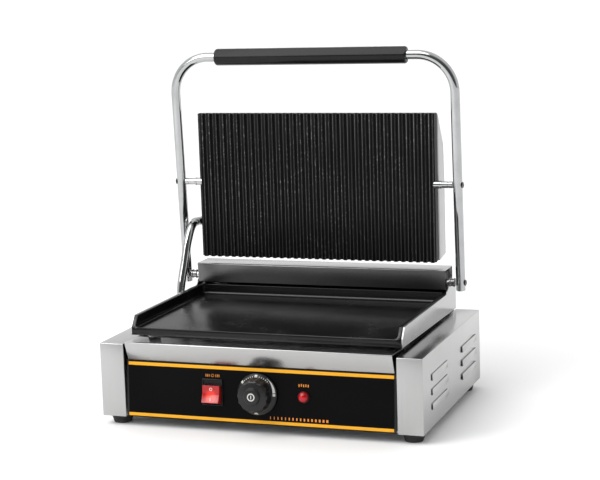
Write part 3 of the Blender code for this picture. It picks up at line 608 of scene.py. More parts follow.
def ribbed_iron(name, colour):
    """The ribbed casting: dull black, with speckled bright lines along the edges of every rib, partly wear
    and partly painted highlight, with painted glints.
    """
    sheet = Sheet(name, Specular_IOR_Level=0.06, Coat_Roughness=0.28)
    grain = sheet.noise((900, 900, 420), 3.0, 0.65)
    cloud = sheet.noise((17, 17, 9), 3.0, 0.6)
    speck = sheet.noise((800, 800, 330), 1.0, 0.4)
    low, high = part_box("upper_cover")
    across, depth, _ = sheet.axes(sheet.where)
    phase = sheet.math("FRACT", (across - low.x) * (RIB_COUNT / (high.x - low.x)))
    # the bright lines along both edges of each rib's tip are partly wear and partly a painted highlight
    edges = sheet.math("ADD", sheet.band(phase, 0.20, 0.32, 0.05), sheet.band(phase, 0.68, 0.80, 0.05),
                       clamp=True)
    front = 1 - sheet.between(depth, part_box("upper_griddle")[0].y + 0.0022,
                              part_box("upper_griddle")[0].y + 0.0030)
    line = edges * front
    # painted glints: bright specks painted along the lines
    painted_glint = line * sheet.between(speck, 0.55, 0.72) * sheet.between(cloud, 0.32, 0.62)
    sheet.dress(
        Base_Color=sheet.blend(line * (0.10 + grain * 0.16) + painted_glint, shade(colour, 0.8),
                               (0.22, 0.22, 0.22, 1.0)),
        Coat_Weight=line * (0.45 + grain * 0.5),
        Roughness=grain * 0.18 + 0.26,
        Normal=sheet.bump(grain, 0.00012, 0.4),
    )


def moulded(name, colour, roughness, sheen=0.0, grain=700, depth=0.00005, **constants):
    """Moulded plastic or phenolic: fine skin texture, faint flow marks and dust."""
    sheet = Sheet(name, **constants)
    skin = sheet.noise(grain, 2.0, 0.6)
    flow = sheet.noise((30, 60, 60), 3.0, 0.5)
    sheet.dress(
        Base_Color=sheet.tones(sheet.between(flow, 0.3, 0.75), colour, 1, 1.5 + sheen),
        Roughness=skin * 0.10 + flow * 0.10 + (roughness - 0.10),
        Normal=sheet.bump(skin, depth, 0.35),
    )


def rubber(name, colour):
    """Moulded rubber with a dusty, slightly greyer foot."""
    sheet = Sheet(name)
    skin = sheet.noise(800, 3.0, 0.6)
    _, _, height = sheet.axes(sheet.where)
    dust = (1 - sheet.between(height, 0.0, 0.004)) * sheet.between(sheet.noise(90), 0.4, 0.7)
    sheet.dress(
        Base_Color=sheet.tones(dust, colour, 1, 4.0),
        Roughness=skin * 0.15 + 0.62,
        Normal=sheet.bump(skin, 0.00008, 0.5),
    )


def zinc(name, colour, roughness=0.45):
    """Dull plated sheet with spangles."""
    sheet = Sheet(name, Metallic=1.0)
    spangle = sheet.cells(95)
    cloud = sheet.noise(40, 3.0, 0.6)
    sheet.dress(
        Base_Color=sheet.tones(spangle * 0.6 + cloud * 0.4, colour, 0.8, 1.1),
        Roughness=cloud * 0.2 + spangle * 0.1 + (roughness - 0.15),
        Normal=sheet.bump(cloud, 0.00006, 0.3),
    )


def blackened(name, colour, roughness=0.5):
    """Oil-blackened steel with a few brown and bright rubs."""
    sheet = Sheet(name, Metallic=1.0)
    cloud = sheet.noise(120, 4.0, 0.65)
    sheet.dress(
        Base_Color=sheet.blend(sheet.between(cloud, 0.5, 0.8), shade(colour), (0.06, 0.052, 0.045, 1.0)),
        Roughness=cloud * 0.25 + (roughness - 0.12),
        Normal=sheet.bump(cloud, 0.00008, 0.4),
    )


def wool(name, colour):
    """Loose mineral wool."""
    sheet = Sheet(name)
    fibre = sheet.noise((260, 60, 400), 4.0, 0.7)
    sheet.dress(
        Base_Color=sheet.tones(fibre, colour, 0.6, 1.15),
        Roughness=fibre * 0.1 + 0.85,
        Normal=sheet.bump(fibre, 0.0008, 0.8),
    )


def label_film(name, colour, amber):
    """Black printed film with an amber stripe along its upper and lower edges."""
    sheet = Sheet(name, Specular_IOR_Level=0.06)
    low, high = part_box("control_label")
    _, _, height = sheet.axes(sheet.where)
    skin = sheet.noise(500, 2.0, 0.5)
    haze = sheet.noise(12, 3.0, 0.55)
    upper = sheet.band(height, high.z - 0.0050, high.z - 0.0008, 0.00008)
    lower = sheet.band(height, low.z + 0.0012, low.z + 0.0052, 0.00008)
    ink = sheet.tones(sheet.between(haze, 0.3, 0.8), colour, 0.8, 1.5)
    stripe = sheet.tones(haze, amber, 0.93, 1.06)
    sheet.dress(
        Base_Color=sheet.blend(sheet.math("ADD", upper, lower, clamp=True), ink, stripe),
        Roughness=skin * 0.08 + haze * 0.10 + 0.24,
        Normal=sheet.bump(skin, 0.00002, 0.25),
    )


def dial(name, colour):
    """Knob skirt: satin black with printed ticks, blocks, a widening wedge and a pointer."""
    sheet = Sheet(name, Specular_IOR_Level=0.36)
    across, up, out = sheet.axes(sheet.mapped(centre=tuple(KNOB_SEAT), turn=tuple(PANEL_TURN)))
    reach = sheet.math("SQRT", across * across + up * up)
    turn = sheet.math("ARCTAN2", across, up) * (180 / math.pi)      # clockwise from the top, in degrees
    skin = sheet.noise(900, 2.0, 0.6)
    flow = sheet.noise(70, 3.0, 0.5)
    low_part = 1 - sheet.between(out, 0.0070, 0.0074)
    phase = sheet.math("FRACT", (turn + 360) / 7.5)
    ticks = sheet.band(phase, 0.34, 0.66, 0.05) * sheet.band(reach, 0.0222, 0.0238, 0.0001)
    ticks = ticks * sheet.band(turn, -44, 48, 0.5)
    blocks = sheet.band(reach, 0.0222, 0.0252, 0.0001) * sheet.most(
        sheet.band(turn, -54, -46, 0.8), sheet.band(turn, -4, 4, 0.8), sheet.band(turn, 84, 92, 0.8))
    wedge_reach = 0.0250 - sheet.between(turn, 34, 88) * 0.0028
    wedge = sheet.between(reach - wedge_reach, 0.0, 0.0002) * sheet.band(turn, 34, 82, 0.6)
    wedge = wedge * (1 - sheet.between(reach, 0.0253, 0.0255))
    pointer_half = (reach - 0.0216) * 1.1
    pointer = sheet.between(pointer_half - sheet.math("ABSOLUTE", across), 0.0, 0.0002)
    pointer = pointer * (1 - sheet.between(up, -0.0216, -0.0214)) * (1 - sheet.between(reach, 0.0246,
                                                                                       0.0248))
    boss = sheet.between(out, 0.0238, 0.0241)
    ring = sheet.band(reach, 0.0036, 0.0050, 0.0001)
    bar = sheet.band(across, -0.0006, 0.0006, 0.0001) * sheet.band(up, -0.0024, 0.0024, 0.0001)
    printed = sheet.most(sheet.most(ticks, blocks, wedge, pointer) * low_part, sheet.most(ring, bar) * boss)
    sheet.dress(
        Base_Color=sheet.blend(printed, sheet.tones(flow, colour, 1, 1.6), (0.62, 0.62, 0.60, 1.0)),
        Roughness=skin * 0.08 + flow * 0.08 + 0.22,
        Normal=sheet.bump(skin, 0.00005, 0.35),
    )


def lit_plastic(name, colour, glow, centre, size, strength, roughness=0.16):
    """Clear coloured plastic with a soft light behind its middle."""
    sheet = Sheet(name, Emission_Strength=strength, Coat_Roughness=0.08, Specular_IOR_Level=0.3)
    across, _, height = sheet.axes(sheet.mapped(centre=tuple(centre)))
    across, height = across / size[0], height / size[1]
    away = sheet.math("SQRT", across * across + height * height)
    heart = 1 - sheet.between(away, 0.15, 1.0)
    cloud = sheet.noise(400, 2.0, 0.5)
    sheet.dress(
        Base_Color=sheet.tones(heart * 0.7 + cloud * 0.2, colour, 0.7, 1.3),
        Emission_Color=sheet.blend(heart, (0.0, 0.0, 0.0, 1.0), (*glow, 1.0)),
        Coat_Weight=0.25 + cloud * 0.1,
        Roughness=cloud * 0.08 + roughness,
        Normal=sheet.bump(cloud, 0.00002, 0.2),
    )


def print_ink(name, colour):
    """Slightly uneven printed ink."""
    sheet = Sheet(name)
    cloud = sheet.noise(900, 2.0, 0.5)
    sheet.dress(
        Base_Color=sheet.tones(cloud, colour, 0.85, 1.1),
        Roughness=cloud * 0.2 + 0.40,
    )


def mix_finishes(look):
    """Make every material."""
    steel = look.steel
    rocker_at = on_panel(ROCKER_PIVOT)
    lamp_at = on_panel(middle_of("lamp_lens"))
    brushed_steel("casing_steel", "Z", steel, 0.21)
    brushed_steel("strip_steel", "X", steel, 0.25, 1.05)
    cover_front("hinge_steel", steel)
    brushed_steel("cheek_steel", "Y", steel, 0.22)
    brushed_steel("cover_steel", "X", steel, 0.30)
    brushed_steel("deck_steel", "X", steel, 0.30, 0.8)
    chrome("chrome", look.chrome)
    chrome("collar_steel", (0.20, 0.20, 0.20), 0.14)
    chrome("screw_steel", (0.16, 0.16, 0.16), 0.22)
    enamel("enamel", look.enamel)
    ribbed_iron("ribbed_iron", look.enamel)
    moulded("grip", (0.006, 0.006, 0.0063), 0.24, grain=420, depth=0.00002, Specular_IOR_Level=0.22)
    dial("dial", (0.008, 0.008, 0.0083))
    moulded("black_plastic", (0.005, 0.005, 0.0053), 0.24, Specular_IOR_Level=0.22)
    # matte black for dark parts and the grip's parting line, also used as painted shade and shadow in the
    # louvres
    moulded("black_and_painted_shade", (0.008, 0.008, 0.008), 0.75)
    rubber("rubber", (0.012, 0.012, 0.012))
    zinc("zinc", (0.42, 0.43, 0.44))
    blackened("blackened", (0.010, 0.010, 0.0095))
    blackened("element", (0.10, 0.09, 0.085), 0.55)
    wool("wool", (0.55, 0.52, 0.44))
    moulded("ceramic", (0.50, 0.48, 0.43), 0.5)
    label_film("label", (0.0020, 0.0020, 0.0022), look.amber)
    lit_plastic("rocker_red", look.rocker, (1.0, 0.075, 0.012), rocker_at, (0.0095, 0.0110), 0.45)
    lit_plastic("lamp_red", look.lamp, (0.7, 0.008, 0.02), lamp_at, (0.0075, 0.0075), 0.25, 0.08)
    print_ink("white_ink", (0.78, 0.78, 0.76))
    print_ink("amber_ink", (0.80, 0.27, 0.03))


KEPT_NODES = {
    "base_pan": "zinc", "top_deck": "deck_steel", "rear_panel": "strip_steel", "tray_shelf": "black_and_painted_shade",
    "front_panel": "black_and_painted_shade", "control_label": "label", "thermostat_body": "zinc",
    "lamp_body": "black_plastic", "terminal_block": "ceramic", "side_plate_left": "cheek_steel",
    "side_plate_right": "cheek_steel", "griddle_spacer_1": "enamel", "griddle_spacer_2": "enamel",
    "griddle_spacer_3": "enamel", "griddle_spacer_4": "enamel", "lower_element": "element",
    "lower_heat_shield": "zinc", "hinge_bracket_left": "blackened", "hinge_bracket_right": "blackened",
    "upper_element": "element", "upper_clamp_plate": "zinc", "upper_insulation": "wool",
}


# ---- base ----


def louvre(side, wall, start, height):
    """One pressed louvre, a raised bridge, with painted shade at its open ends and a painted shadow line
    along its top.
    """
    end = start + sizes().louvre_length
    low = height - sizes().louvre_height / 2
    high = height + sizes().louvre_height / 2
    tip = wall + side * sizes().louvre_lip
    foot = wall - side * 0.001
    hood = cuboid("louvre", (min(foot, tip), start, low), (max(foot, tip), end, high))
    push(hood, "EDGE", lambda at, _: abs(at.x - tip) < NEAR and at.z > high - NEAR, (-side * 0.0009, 0, 0))
    push(hood, "EDGE", lambda at, _: abs(at.x - tip) < NEAR and at.z < low + NEAR, (-side * 0.0006, 0, 0))
    soften(hood, 0.0005)
    # painted shade: a dark block fills both open ends, standing in for the shade inside the louvre
    proud = tip - side * 0.0010
    painted_shade_mouth = cuboid("painted_shade_mouth", (min(foot, proud), start - 0.0004, low + 0.0008),
                   (max(foot, proud), end + 0.0004, high - 0.0012))
    push(painted_shade_mouth, "EDGE", lambda at, _: abs(at.x - proud) < NEAR and at.z > high - 0.0013,
         (-side * 0.0004, 0, 0))
    soften(painted_shade_mouth, 0.0003, 2)
    # painted shadow: a thin dark strip along the hood's top edge
    level = wall + side * 0.00012
    painted_shadow_crease = cuboid("painted_shadow_crease", (min(foot, level), start + 0.0010, high - 0.0001),
                    (max(foot, level), end - 0.0010, high + 0.0003))
    soften(painted_shadow_crease, 0.0001, 1)
    return hood, gather([painted_shade_mouth, painted_shadow_crease], "painted_shade_mouth")


def make_casings():
    """Boxed casings at both ends, with rounded folds, louvres, a recessed underside and screws at the back.
    """
    for side in SIDES:
        name = SIDE_NAMES[side]
        low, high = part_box(f"end_cap_{name}")
        wall = (high.x if side > 0 else low.x) - side * sizes().louvre_lip
        inner = low.x if side > 0 else high.x
        body = cuboid(f"casing_{name}", (min(wall, inner), low.y, low.z), (max(wall, inner), high.y, high.z))
        mark(body, "FACE", lambda _, normal: normal.z < -0.9)
        bpy.ops.mesh.inset(thickness=0.0060)
        draw_out((0, 0, 0.0015))
        done()
        soften(body, sizes().casing_edge, 4)
        hoods, painted_shades = zip(*(louvre(side, wall, FRONT_Y + start, height)
                             for start in LOUVRE_STARTS for height in LOUVRE_HEIGHTS))
        fit(body, "base", "casing_steel", (f"end_cap_{name}",))
        fit(gather(hoods, f"louvres_{name}"), "base", "casing_steel")
        # the louvres' painted shade blocks and painted shadow strips
        fit(gather(painted_shades, f"louvre_painted_shades_{name}"), "base", "black_and_painted_shade")
        add_screws(f"casing_screw_{name}", "base", 0.0030,
                   [(wall - side * 0.0165, BACK_Y - 0.0001, height) for height in CASING_SCREW_HEIGHTS])


def add_screws(name, body, radius, places, sink=0.0):
    """Round-headed screws with a cross recess, facing the back."""
    rise = radius * 0.55
    profile = [(radius * 0.98, -sink - 0.0008), (radius, 0.0), (radius * 0.97, rise * 0.45),
               (radius * 0.80, rise * 0.85), (radius * 0.45, rise), (radius * 0.30, rise)]
    for number, place in enumerate(places, 1):
        head = turned(f"{name}_{number}", profile, 28)
        mark(head, "FACE", lambda at, normal: normal.z > 0.95 and at.xy.length < radius * 0.05)
        draw_out((0, 0, -rise * 0.35))
        bpy.ops.transform.resize(value=(0.55, 0.55, 1), center_override=(0, 0, rise * 0.65))
        done()
        for turn in (0, math.pi / 2):
            arm = cuboid("cross", (-radius * 0.62, -radius * 0.10, rise * 0.75),
                         (radius * 0.62, radius * 0.10, rise * 2))
            lay(arm, (0, 0, turn), (0, 0, 0))
            finish_with(head, "BOOLEAN", operation="DIFFERENCE", solver="EXACT", object=arm)
            bpy.data.objects.remove(arm)
        fit(lay(head, towards(BACKWARDS), place), body, "screw_steel")


def make_feet():
    """Four tapered rubber feet with a moulded ring and a screw recess below."""
    for number in range(1, 5):
        low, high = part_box(f"foot_{number}")
        top = (high.x - low.x) / 2
        profile = [(0.0035, 0.0045), (0.0042, 0.0005), (0.0050, 0.0), (top * 0.76, 0.0),
                   (top * 0.80, 0.0006), (top * 0.93, 0.0072), (top * 0.945, 0.0080), (top * 0.995, 0.0086),
                   (top, 0.0092), (top, high.z - 0.0004), (top * 0.98, high.z)]
        foot = turned(f"rubber_foot_{number}", profile, sizes().round_sides,
                      (*middle_of(f"foot_{number}").xy, 0.0))
        fit(foot, "base", "rubber", (f"foot_{number}",))


def make_tray():
    """Pull-out tray: sloping front strip, flat apron and the trough behind it."""
    line = [(FRONT_Y + depth, height) for depth, height in (
        (0.0062, 0.0872), (-0.0034, 0.1110), (0.0002, 0.1112), (0.0390, 0.1092), (0.0420, 0.0945),
        (0.0560, 0.0945), (0.0595, 0.1085))]
    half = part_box("drip_tray")[1].x
    tray = bent_sheet("tray_sheet", line, half, 0.0010, 0.0007)
    soften(tray, 0.00022, 2, 50)
    ends = []
    for side in SIDES:
        edge = side * (half - 0.0010)
        ends.append(soften(prism("tray_end", line[3:], edge - 0.0005, edge + 0.0005), 0.0002, 2))
    fit(gather([tray, *ends], "tray_sheet"), "drip_tray", "strip_steel", ("drip_tray",))


def make_gland():
    """Moulded cable inlet with grip ribs and a bore."""
    middle = middle_of("cable_gland")
    profile = [(0.0045, -0.0060), (0.0080, -0.0060), (0.0080, 0.0), (0.0118, 0.0), (0.0120, 0.0006),
               (0.0120, 0.0040), (0.0112, 0.0062), (0.0116, 0.0068), (0.0106, 0.0088), (0.0110, 0.0094),
               (0.0100, 0.0114), (0.0103, 0.0120), (0.0093, 0.0142), (0.0085, 0.0174), (0.0080, 0.0180),
               (0.0052, 0.0180), (0.0045, 0.0172), (0.0045, -0.0060)]
    gland = turned("cable_inlet", profile, sizes().round_sides, (middle.x, BACK_Y, middle.z), BACKWARDS,
                   ring=True)
    fit(gland, "base", "black_plastic", ("cable_gland",))


def make_back_details():
    """Screws round the rear sheet, an earth stud and a blank data plate."""
    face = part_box("rear_panel")[1].y
    add_screws("rear_screw", "base", 0.0028, [(x, face, height) for x, height in REAR_SCREW_PLACES])
    plate = cuboid("data_plate", (-0.060, face - 0.0001, 0.0280), (0.010, face + 0.0007, 0.0500))
    soften(plate, 0.0003, 2)
    mark(plate, "FACE", lambda _, normal: normal.y > 0.95)
    bpy.ops.mesh.inset(thickness=0.0012)
    bpy.ops.mesh.inset(thickness=0.0003, depth=-0.00015)
    done()
    fit(plate, "base", "cover_steel")
    earth = (0.150, face, 0.0360)
    stud = turned("earth_stud", [
        (0.0055, 0.0), (0.0055, 0.0010), (0.0022, 0.0010), (0.0022, 0.0060), (0.0018, 0.0065)], 32, earth,
        BACKWARDS)
    nut = turned("earth_nut", [
        (0.0038, 0.0011), (0.0042, 0.0016), (0.0042, 0.0034), (0.0038, 0.0039)], 6, earth, BACKWARDS)
    fit(gather([stud, nut], "earth_stud"), "base", "screw_steel")


# ---- controls ----


def lay_on_panel(piece, place):
    """Turn a piece made on the X-Y plane onto the control panel."""
    return lay(piece, PANEL_TURN, place)


def make_switch():
    """Bezel with a pocket, lit rocker of two sloping faces, and its on and off marks."""
    seat = on_panel(ROCKER_PIVOT)
    wide, low, high = 0.0140, -0.0136, 0.0204
    bezel = cuboid("bezel", (-wide, low, 0.0003), (wide, high, 0.0020))
    mark(bezel, "FACE", lambda _, normal: normal.z > 0.9)
    bpy.ops.mesh.inset(thickness=0.0017)
    bpy.ops.mesh.inset(thickness=0.00005, depth=-0.0100)
    done()
    soften(bezel, 0.0007, 3)
    lay_on_panel(bezel, seat)
    fit(bezel, "base", "black_plastic", ("switch_housing",))
    half, reach, ends, dip = 0.01165, 0.0110, 0.0105, 0.0020
    rocker = cuboid("rocker", (-half, -reach, -0.0040), (half, reach, ends))
    everything(rocker)
    bpy.ops.mesh.bisect(plane_co=(0, 0, 0), plane_no=(0, 1, 0))
    done()
    push(rocker, "VERT", lambda at, _: at.z > 0 and abs(at.y) < NEAR, (0, 0, -dip))
    push(rocker, "VERT", lambda at, _: at.z < 0 and abs(at.y) > NEAR, (0, 0, 0.0026))
    mark(rocker, "FACE", lambda _, normal: normal.z > 0.7)
    bpy.ops.mesh.inset(thickness=0.0016, use_individual=False)
    bpy.ops.transform.translate(value=(0, 0, -0.0004))
    done()
    soften(rocker, 0.0008, 3, 20)
    ring = make_ring_mark("rocker_ring", 0.0017, 0.0006)
    line = cuboid("rocker_line", (-0.0004, -0.0018, -0.0003), (0.0004, 0.0018, 0.0003))
    away = 0.0064
    for piece, up in ((ring, 1), (line, -1)):
        lay(piece, (up * math.atan2(dip, reach), 0, 0),
            (0, up * away, ends - dip * (1 - away / reach) - 0.0003))
    marks = gather([ring, line], "rocker_marks")
    tilt = Matrix.Rotation(ROCKER_TILT, 4, "X")
    for piece in (rocker, marks):
        piece.data.transform(tilt)
        lay_on_panel(piece, ROCKER_PIVOT)
    fit(rocker, "rocker", "rocker_red", ("switch_rocker",), 25)
    fit(marks, "rocker", "white_ink")


def make_ring_mark(name, radius, width, lift=0.0):
    """A thin flat printed ring."""
    settle()
    bpy.ops.mesh.primitive_torus_add(major_segments=36, minor_segments=6, major_radius=radius,
                                     minor_radius=width / 2, location=(0, 0, lift))
    ring = bpy.context.active_object
    ring.scale = (1, 1, 0.4)
    return freeze(ring, name)


def make_knob():
    """Dial skirt, faceted cap and raised middle."""
    ribs, steps = sizes().knob_ribs, 6
    skirt = turned("knob_skirt", [
        (0.0060, 0.0010), (0.0260, 0.0010), (0.0264, 0.0014), (0.0264, 0.0033), (0.0260, 0.0038),
        (0.0243, 0.0058), (0.0238, 0.0062), (0.0217, 0.0066), (0.0213, 0.0070)], sizes().round_sides + 32)
    cap = turned("knob_cap", [
        (0.0214, 0.0060), (0.0213, 0.0080), (0.0205, 0.0182), (0.0198, 0.0198), (0.0176, 0.0207),
        (0.0113, 0.0210), (0.0107, 0.0214), (0.0103, 0.0233), (0.0094, 0.0244), (0.0057, 0.0245)],
        ribs * steps)

    def in_facet(at, _):
        step = round(math.degrees(math.atan2(at.y, at.x)) * ribs * steps / 360)
        return 0.0075 < at.z < 0.0202 and at.xy.length > 0.0150 and step % steps in (2, 3, 4)

    mark(cap, "VERT", in_facet)
    bpy.ops.transform.resize(value=(0.955, 0.955, 1), center_override=(0, 0, 0))
    done()
    soften(cap, 0.0004, 2, 24)
    knob = gather([skirt, cap], "dial_knob")
    lay_on_panel(knob, KNOB_SEAT)
    fit(knob, "knob", "dial", ("thermostat_knob",), 26)


def make_lamp():
    """Domed lens in a thin black rim."""
    seat = on_panel(middle_of("lamp_lens"))
    radius = 0.0070
    dome = [math.radians(angle) for angle in (12, 24, 36, 48, 60, 72, 82)]
    profile = [(radius, 0.0006), (radius, 0.0016),
               *((radius * math.cos(angle), 0.0016 + 0.0056 * math.sin(angle)) for angle in dome)]
    lens = turned("lens", profile, sizes().round_sides)
    lay_on_panel(lens, seat)
    fit(lens, "base", "lamp_red", ("lamp_lens",))
    rim = turned("lamp_rim", [(0.0070, 0.0003), (0.0076, 0.0003), (0.0078, 0.0007), (0.0077, 0.0012),
                              (0.0071, 0.0013), (0.0070, 0.0003)], sizes().round_sides, ring=True)
    lay_on_panel(rim, seat)
    fit(rim, "base", "black_plastic")


def make_panel_marks():
    """Generic printed marks: a ring and bars over the switch, bars over the lamp, and a rising scale."""
    raised = 0.0007
    marks = []
    switch = on_panel(ROCKER_PIVOT) + PANEL_UP * 0.0246
    lamp = on_panel(middle_of("lamp_lens")) + PANEL_UP * 0.0140
    foot = on_panel(Vector((0.050, KNOB_SEAT.y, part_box("control_label")[0].z + 0.0092)))

    def bar(place, across, up, wide, tall):
        piece = cuboid("print", (across - wide / 2, up - tall / 2, 0.00055),
                       (across + wide / 2, up + tall / 2, raised))
        marks.append(lay_on_panel(piece, place))

    ring = make_ring_mark("print", 0.0017, 0.0005, 0.0006)
    marks.append(lay_on_panel(ring, switch))
    for k in range(3):
        bar(switch, 0.0045 + 0.0022 * k, 0.0, 0.0008, 0.0034)
        bar(switch, -0.0045 - 0.0022 * k, 0.0, 0.0008, 0.0034)
    for k in range(5):
        bar(lamp, -0.0060 + 0.0030 * k, 0.0004 * (k % 2), 0.0013, 0.0034)
    for k in range(16):
        bar(foot, -0.0330 + 0.0050 * k, 0.0, 0.0008 + 0.00012 * k, 0.0034)
    fit(gather(marks, "panel_marks"), "base", "amber_ink")


# ---- lower griddle and hinge ----


def make_griddle():
    """Cast plate: low front edge, walls on three sides, fillets inside and softened edges."""
    low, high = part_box("lower_griddle")
    level, front_slope = 0.00001, 0.0105
    inside = high.x - sizes().griddle_wall
    back = low.y + 0.2280                       # the cooking surface is this deep
    plate = cuboid("griddle", (low.x, low.y, low.z), (high.x, high.y, COOKING_HEIGHT))
    everything(plate)
    for place, normal in (((inside, 0, 0), SIDEWAYS), ((-inside, 0, 0), SIDEWAYS),
                          ((0, back, 0), BACKWARDS)):
        bpy.ops.mesh.select_all(action="SELECT")
        bpy.ops.mesh.bisect(plane_co=place, plane_no=normal)
    done()
    mark(plate, "FACE", lambda at, normal: normal.z > 0.9 and (abs(at.x) > inside or at.y > back))
    draw_out((0, 0, WALL_HEIGHT - COOKING_HEIGHT))
    done()
    push(plate, "VERT", lambda at, _: at.z > WALL_HEIGHT - level and at.y < low.y + level,
         (0, front_slope, 0))
    push(plate, "VERT", lambda at, _: at.z > WALL_HEIGHT - level and at.y > high.y - level,
         (0, 0, high.z - WALL_HEIGHT))

    def in_corner(at, along):
        by_side = abs(abs(at.x) - inside) < level
        by_back = abs(at.y - back) < level
        if abs(along.z) > 0.9:
            return by_side and by_back
        along_wall = (by_side and at.y < back) or (by_back and abs(at.x) < inside)
        return along_wall and abs(at.z - COOKING_HEIGHT) < level

    mark(plate, "EDGE", in_corner)
    bpy.ops.mesh.bevel(offset=sizes().fillet, segments=6, affect="EDGES")
    done()
    soften(plate, 0.0009, 3, 40)
    fit(plate, "base", "enamel", ("lower_griddle",), 40)


def make_hinge_box():
    """Bent cover over the hinge shaft with rounded folds."""
    low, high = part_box("hinge_box")
    half = 0.0005
    line = [(low.y + half + 0.0020, HINGE.z - 0.0092), (low.y + half, high.z - half),
            (high.y - half, high.z - half), (high.y - half, low.z + half), (high.y - 0.0120, low.z + half)]
    box = bent_sheet("hinge_cover", line, high.x, 2 * half, 0.0016)
    soften(box, 0.00022, 2, 50)
    fit(box, "base", "hinge_steel", ("hinge_box",))
    add_screws("hinge_cover_screw", "base", 0.0032,
               [(x, high.y, height) for x, height in HINGE_SCREW_PLACES])


def make_hinge_shaft():
    """Turned shaft with its collars, and the coils round it."""
    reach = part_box("hinge_shaft")[1].x
    shaft = turned("hinge_bar", [(0.0040, -reach), (0.0045, -reach + 0.0005), (0.0045, reach - 0.0005),
                                 (0.0040, reach)], sizes().round_sides, HINGE, SIDEWAYS)
    fit(shaft, "bail", "chrome", ("hinge_shaft",))
    for side in SIDES:
        name = SIDE_NAMES[side]
        low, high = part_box(f"shaft_collar_{name}")
        wide = high.x - low.x
        profile = [(0.0048, 0.0), (0.0056, 0.0), (0.0060, 0.0004), (0.0060, wide * 0.22),
                   (0.0057, wide * 0.26), (0.0052, wide * 0.30), (0.0052, wide * 0.68),
                   (0.0057, wide * 0.72), (0.0060, wide * 0.76), (0.0060, wide - 0.0004), (0.0056, wide),
                   (0.0048, wide), (0.0048, 0.0)]
        collar = turned(f"collar_{name}", profile, sizes().round_sides, (low.x, HINGE.y, HINGE.z), SIDEWAYS,
                        ring=True)
        fit(collar, "bail", "collar_steel", (f"shaft_collar_{name}",))
        coil, turns, steps, start, length = 0.0061, 7, 12, 0.1400, 0.028
        points = [(side * start, HINGE.y + coil, HINGE.z - 0.0160)]
        for k in range(turns * steps + 1):
            angle = 2 * math.pi * k / steps
            points.append((side * (start + length * k / (turns * steps)),
                           HINGE.y + coil * math.cos(angle), HINGE.z + coil * math.sin(angle)))
        points.append((side * (start + length), HINGE.y + coil, HINGE.z + 0.0105))
        spring = wire(f"coil_{name}", points, 0.0010, 2)
        fit(spring, "base", "blackened", (f"torsion_spring_{name}",))


# ---- bail ----


def lean(piece):
    """Move a piece made upright at the origin to the hinge, leaning with the arms."""
    return lay(piece, (ARM_LEAN, 0, 0), HINGE)


def make_bail_tube():
    """Tube bent twice through a right angle, drawn from one arm's foot to the other's."""
    radius = sizes().tube_radius
    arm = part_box("bail_tube")[1].x - radius
    bend = sizes().bend_radius
    foot = -0.0110
    settle()
    bpy.ops.mesh.primitive_circle_add(vertices=32, radius=radius - 0.0010, fill_type="NGON",
                                      location=(-arm, 0, foot))
    tube = freeze(bpy.context.active_object, "bail")
    everything(tube)
    lips = (radius - 0.0010, radius - 0.0003,
            radius)               # the tube's ends are rounded in two steps
    rises = (0.0003, 0.0007)
    for now, wider, rise in zip(lips, lips[1:], rises):
        draw_out((0, 0, rise))
        bpy.ops.transform.resize(value=(wider / now, wider / now, 1), center_override=(-arm, 0, foot))
    straight = ARM_LENGTH - bend - foot - sum(rises)
    draw_out((0, 0, straight))
    bpy.ops.mesh.spin(steps=20, angle=-math.pi / 2, center=(-arm + bend, 0, ARM_LENGTH - bend),
                      axis=BACKWARDS)
    draw_out((2 * (arm - bend), 0, 0))
    bpy.ops.mesh.spin(steps=20, angle=-math.pi / 2, center=(arm - bend, 0, ARM_LENGTH - bend),
                      axis=BACKWARDS)
    draw_out((0, 0, -straight))
    for now, narrower, rise in zip(lips[::-1], lips[-2::-1], rises[::-1]):
        draw_out((0, 0, -rise))
        bpy.ops.transform.resize(value=(narrower / now, narrower / now, 1), center_override=(arm, 0, foot))
    done()
    point_outwards(tube)
    fit(lean(tube), "bail", "chrome", ("bail_tube",), 40)


def make_grip():
    """Moulded grip with a flat along its upper front and a parting line."""
    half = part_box("bail_grip")[1].x - GRIP_MIDDLE.x
    radius = sizes().grip_radius
    inner = sizes().tube_radius + 0.0003
    profile = [(inner, -half + 0.0040), (inner, -half), (radius - 0.0028, -half),
               (radius - 0.0012, -half + 0.0005), (radius - 0.0003, -half + 0.0016),
               (radius, -half + 0.0032), (radius, half - 0.0032), (radius - 0.0003, half - 0.0016),
               (radius - 0.0012, half - 0.0005), (radius - 0.0028, half), (inner, half),
               (inner, half - 0.0040)]
    grip = turned("grip", profile, sizes().round_sides, (0, 0, ARM_LENGTH), SIDEWAYS)
    everything(grip)
    facing = Vector((0, -math.sin(FACET_TURN), math.cos(FACET_TURN)))
    bpy.ops.mesh.bisect(plane_co=Vector((0, 0, ARM_LENGTH)) + facing * (radius * FACET_REACH),
                        plane_no=facing, use_fill=True, clear_outer=True)
    done()
    soften(grip, 0.0007, 3, 24)
    fit(lean(grip), "bail", "grip", ("bail_grip",), 24)
    seam = cuboid("grip_seam", (-half + 0.004, -radius - 0.00002, ARM_LENGTH - 0.0002),
                  (half - 0.004, -radius + 0.0030, ARM_LENGTH + 0.0002))
    soften(seam, 0.0001, 1)
    fit(lean(seam), "bail", "black_and_painted_shade")


def make_rods():
    """Rods between arms and platen, each with a groove near its outer end."""
    for side in SIDES:
        name = SIDE_NAMES[side]
        low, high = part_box(f"pivot_rod_{name}")
        length = high.x - low.x
        inner = low.x if side > 0 else high.x
        profile = [(0.0042, 0.0), (0.0046, 0.0004), (0.0046, length - 0.0062), (0.0041, length - 0.0060),
                   (0.0041, length - 0.0052), (0.0046, length - 0.0050), (0.0046, length - 0.0004),
                   (0.0042, length)]
        rod = turned(f"rod_{name}", profile, SMALL_SIDES, (inner, PIVOT.y, PIVOT.z), (side, 0, 0))
        fit(rod, "bail", "chrome", (f"pivot_rod_{name}",))


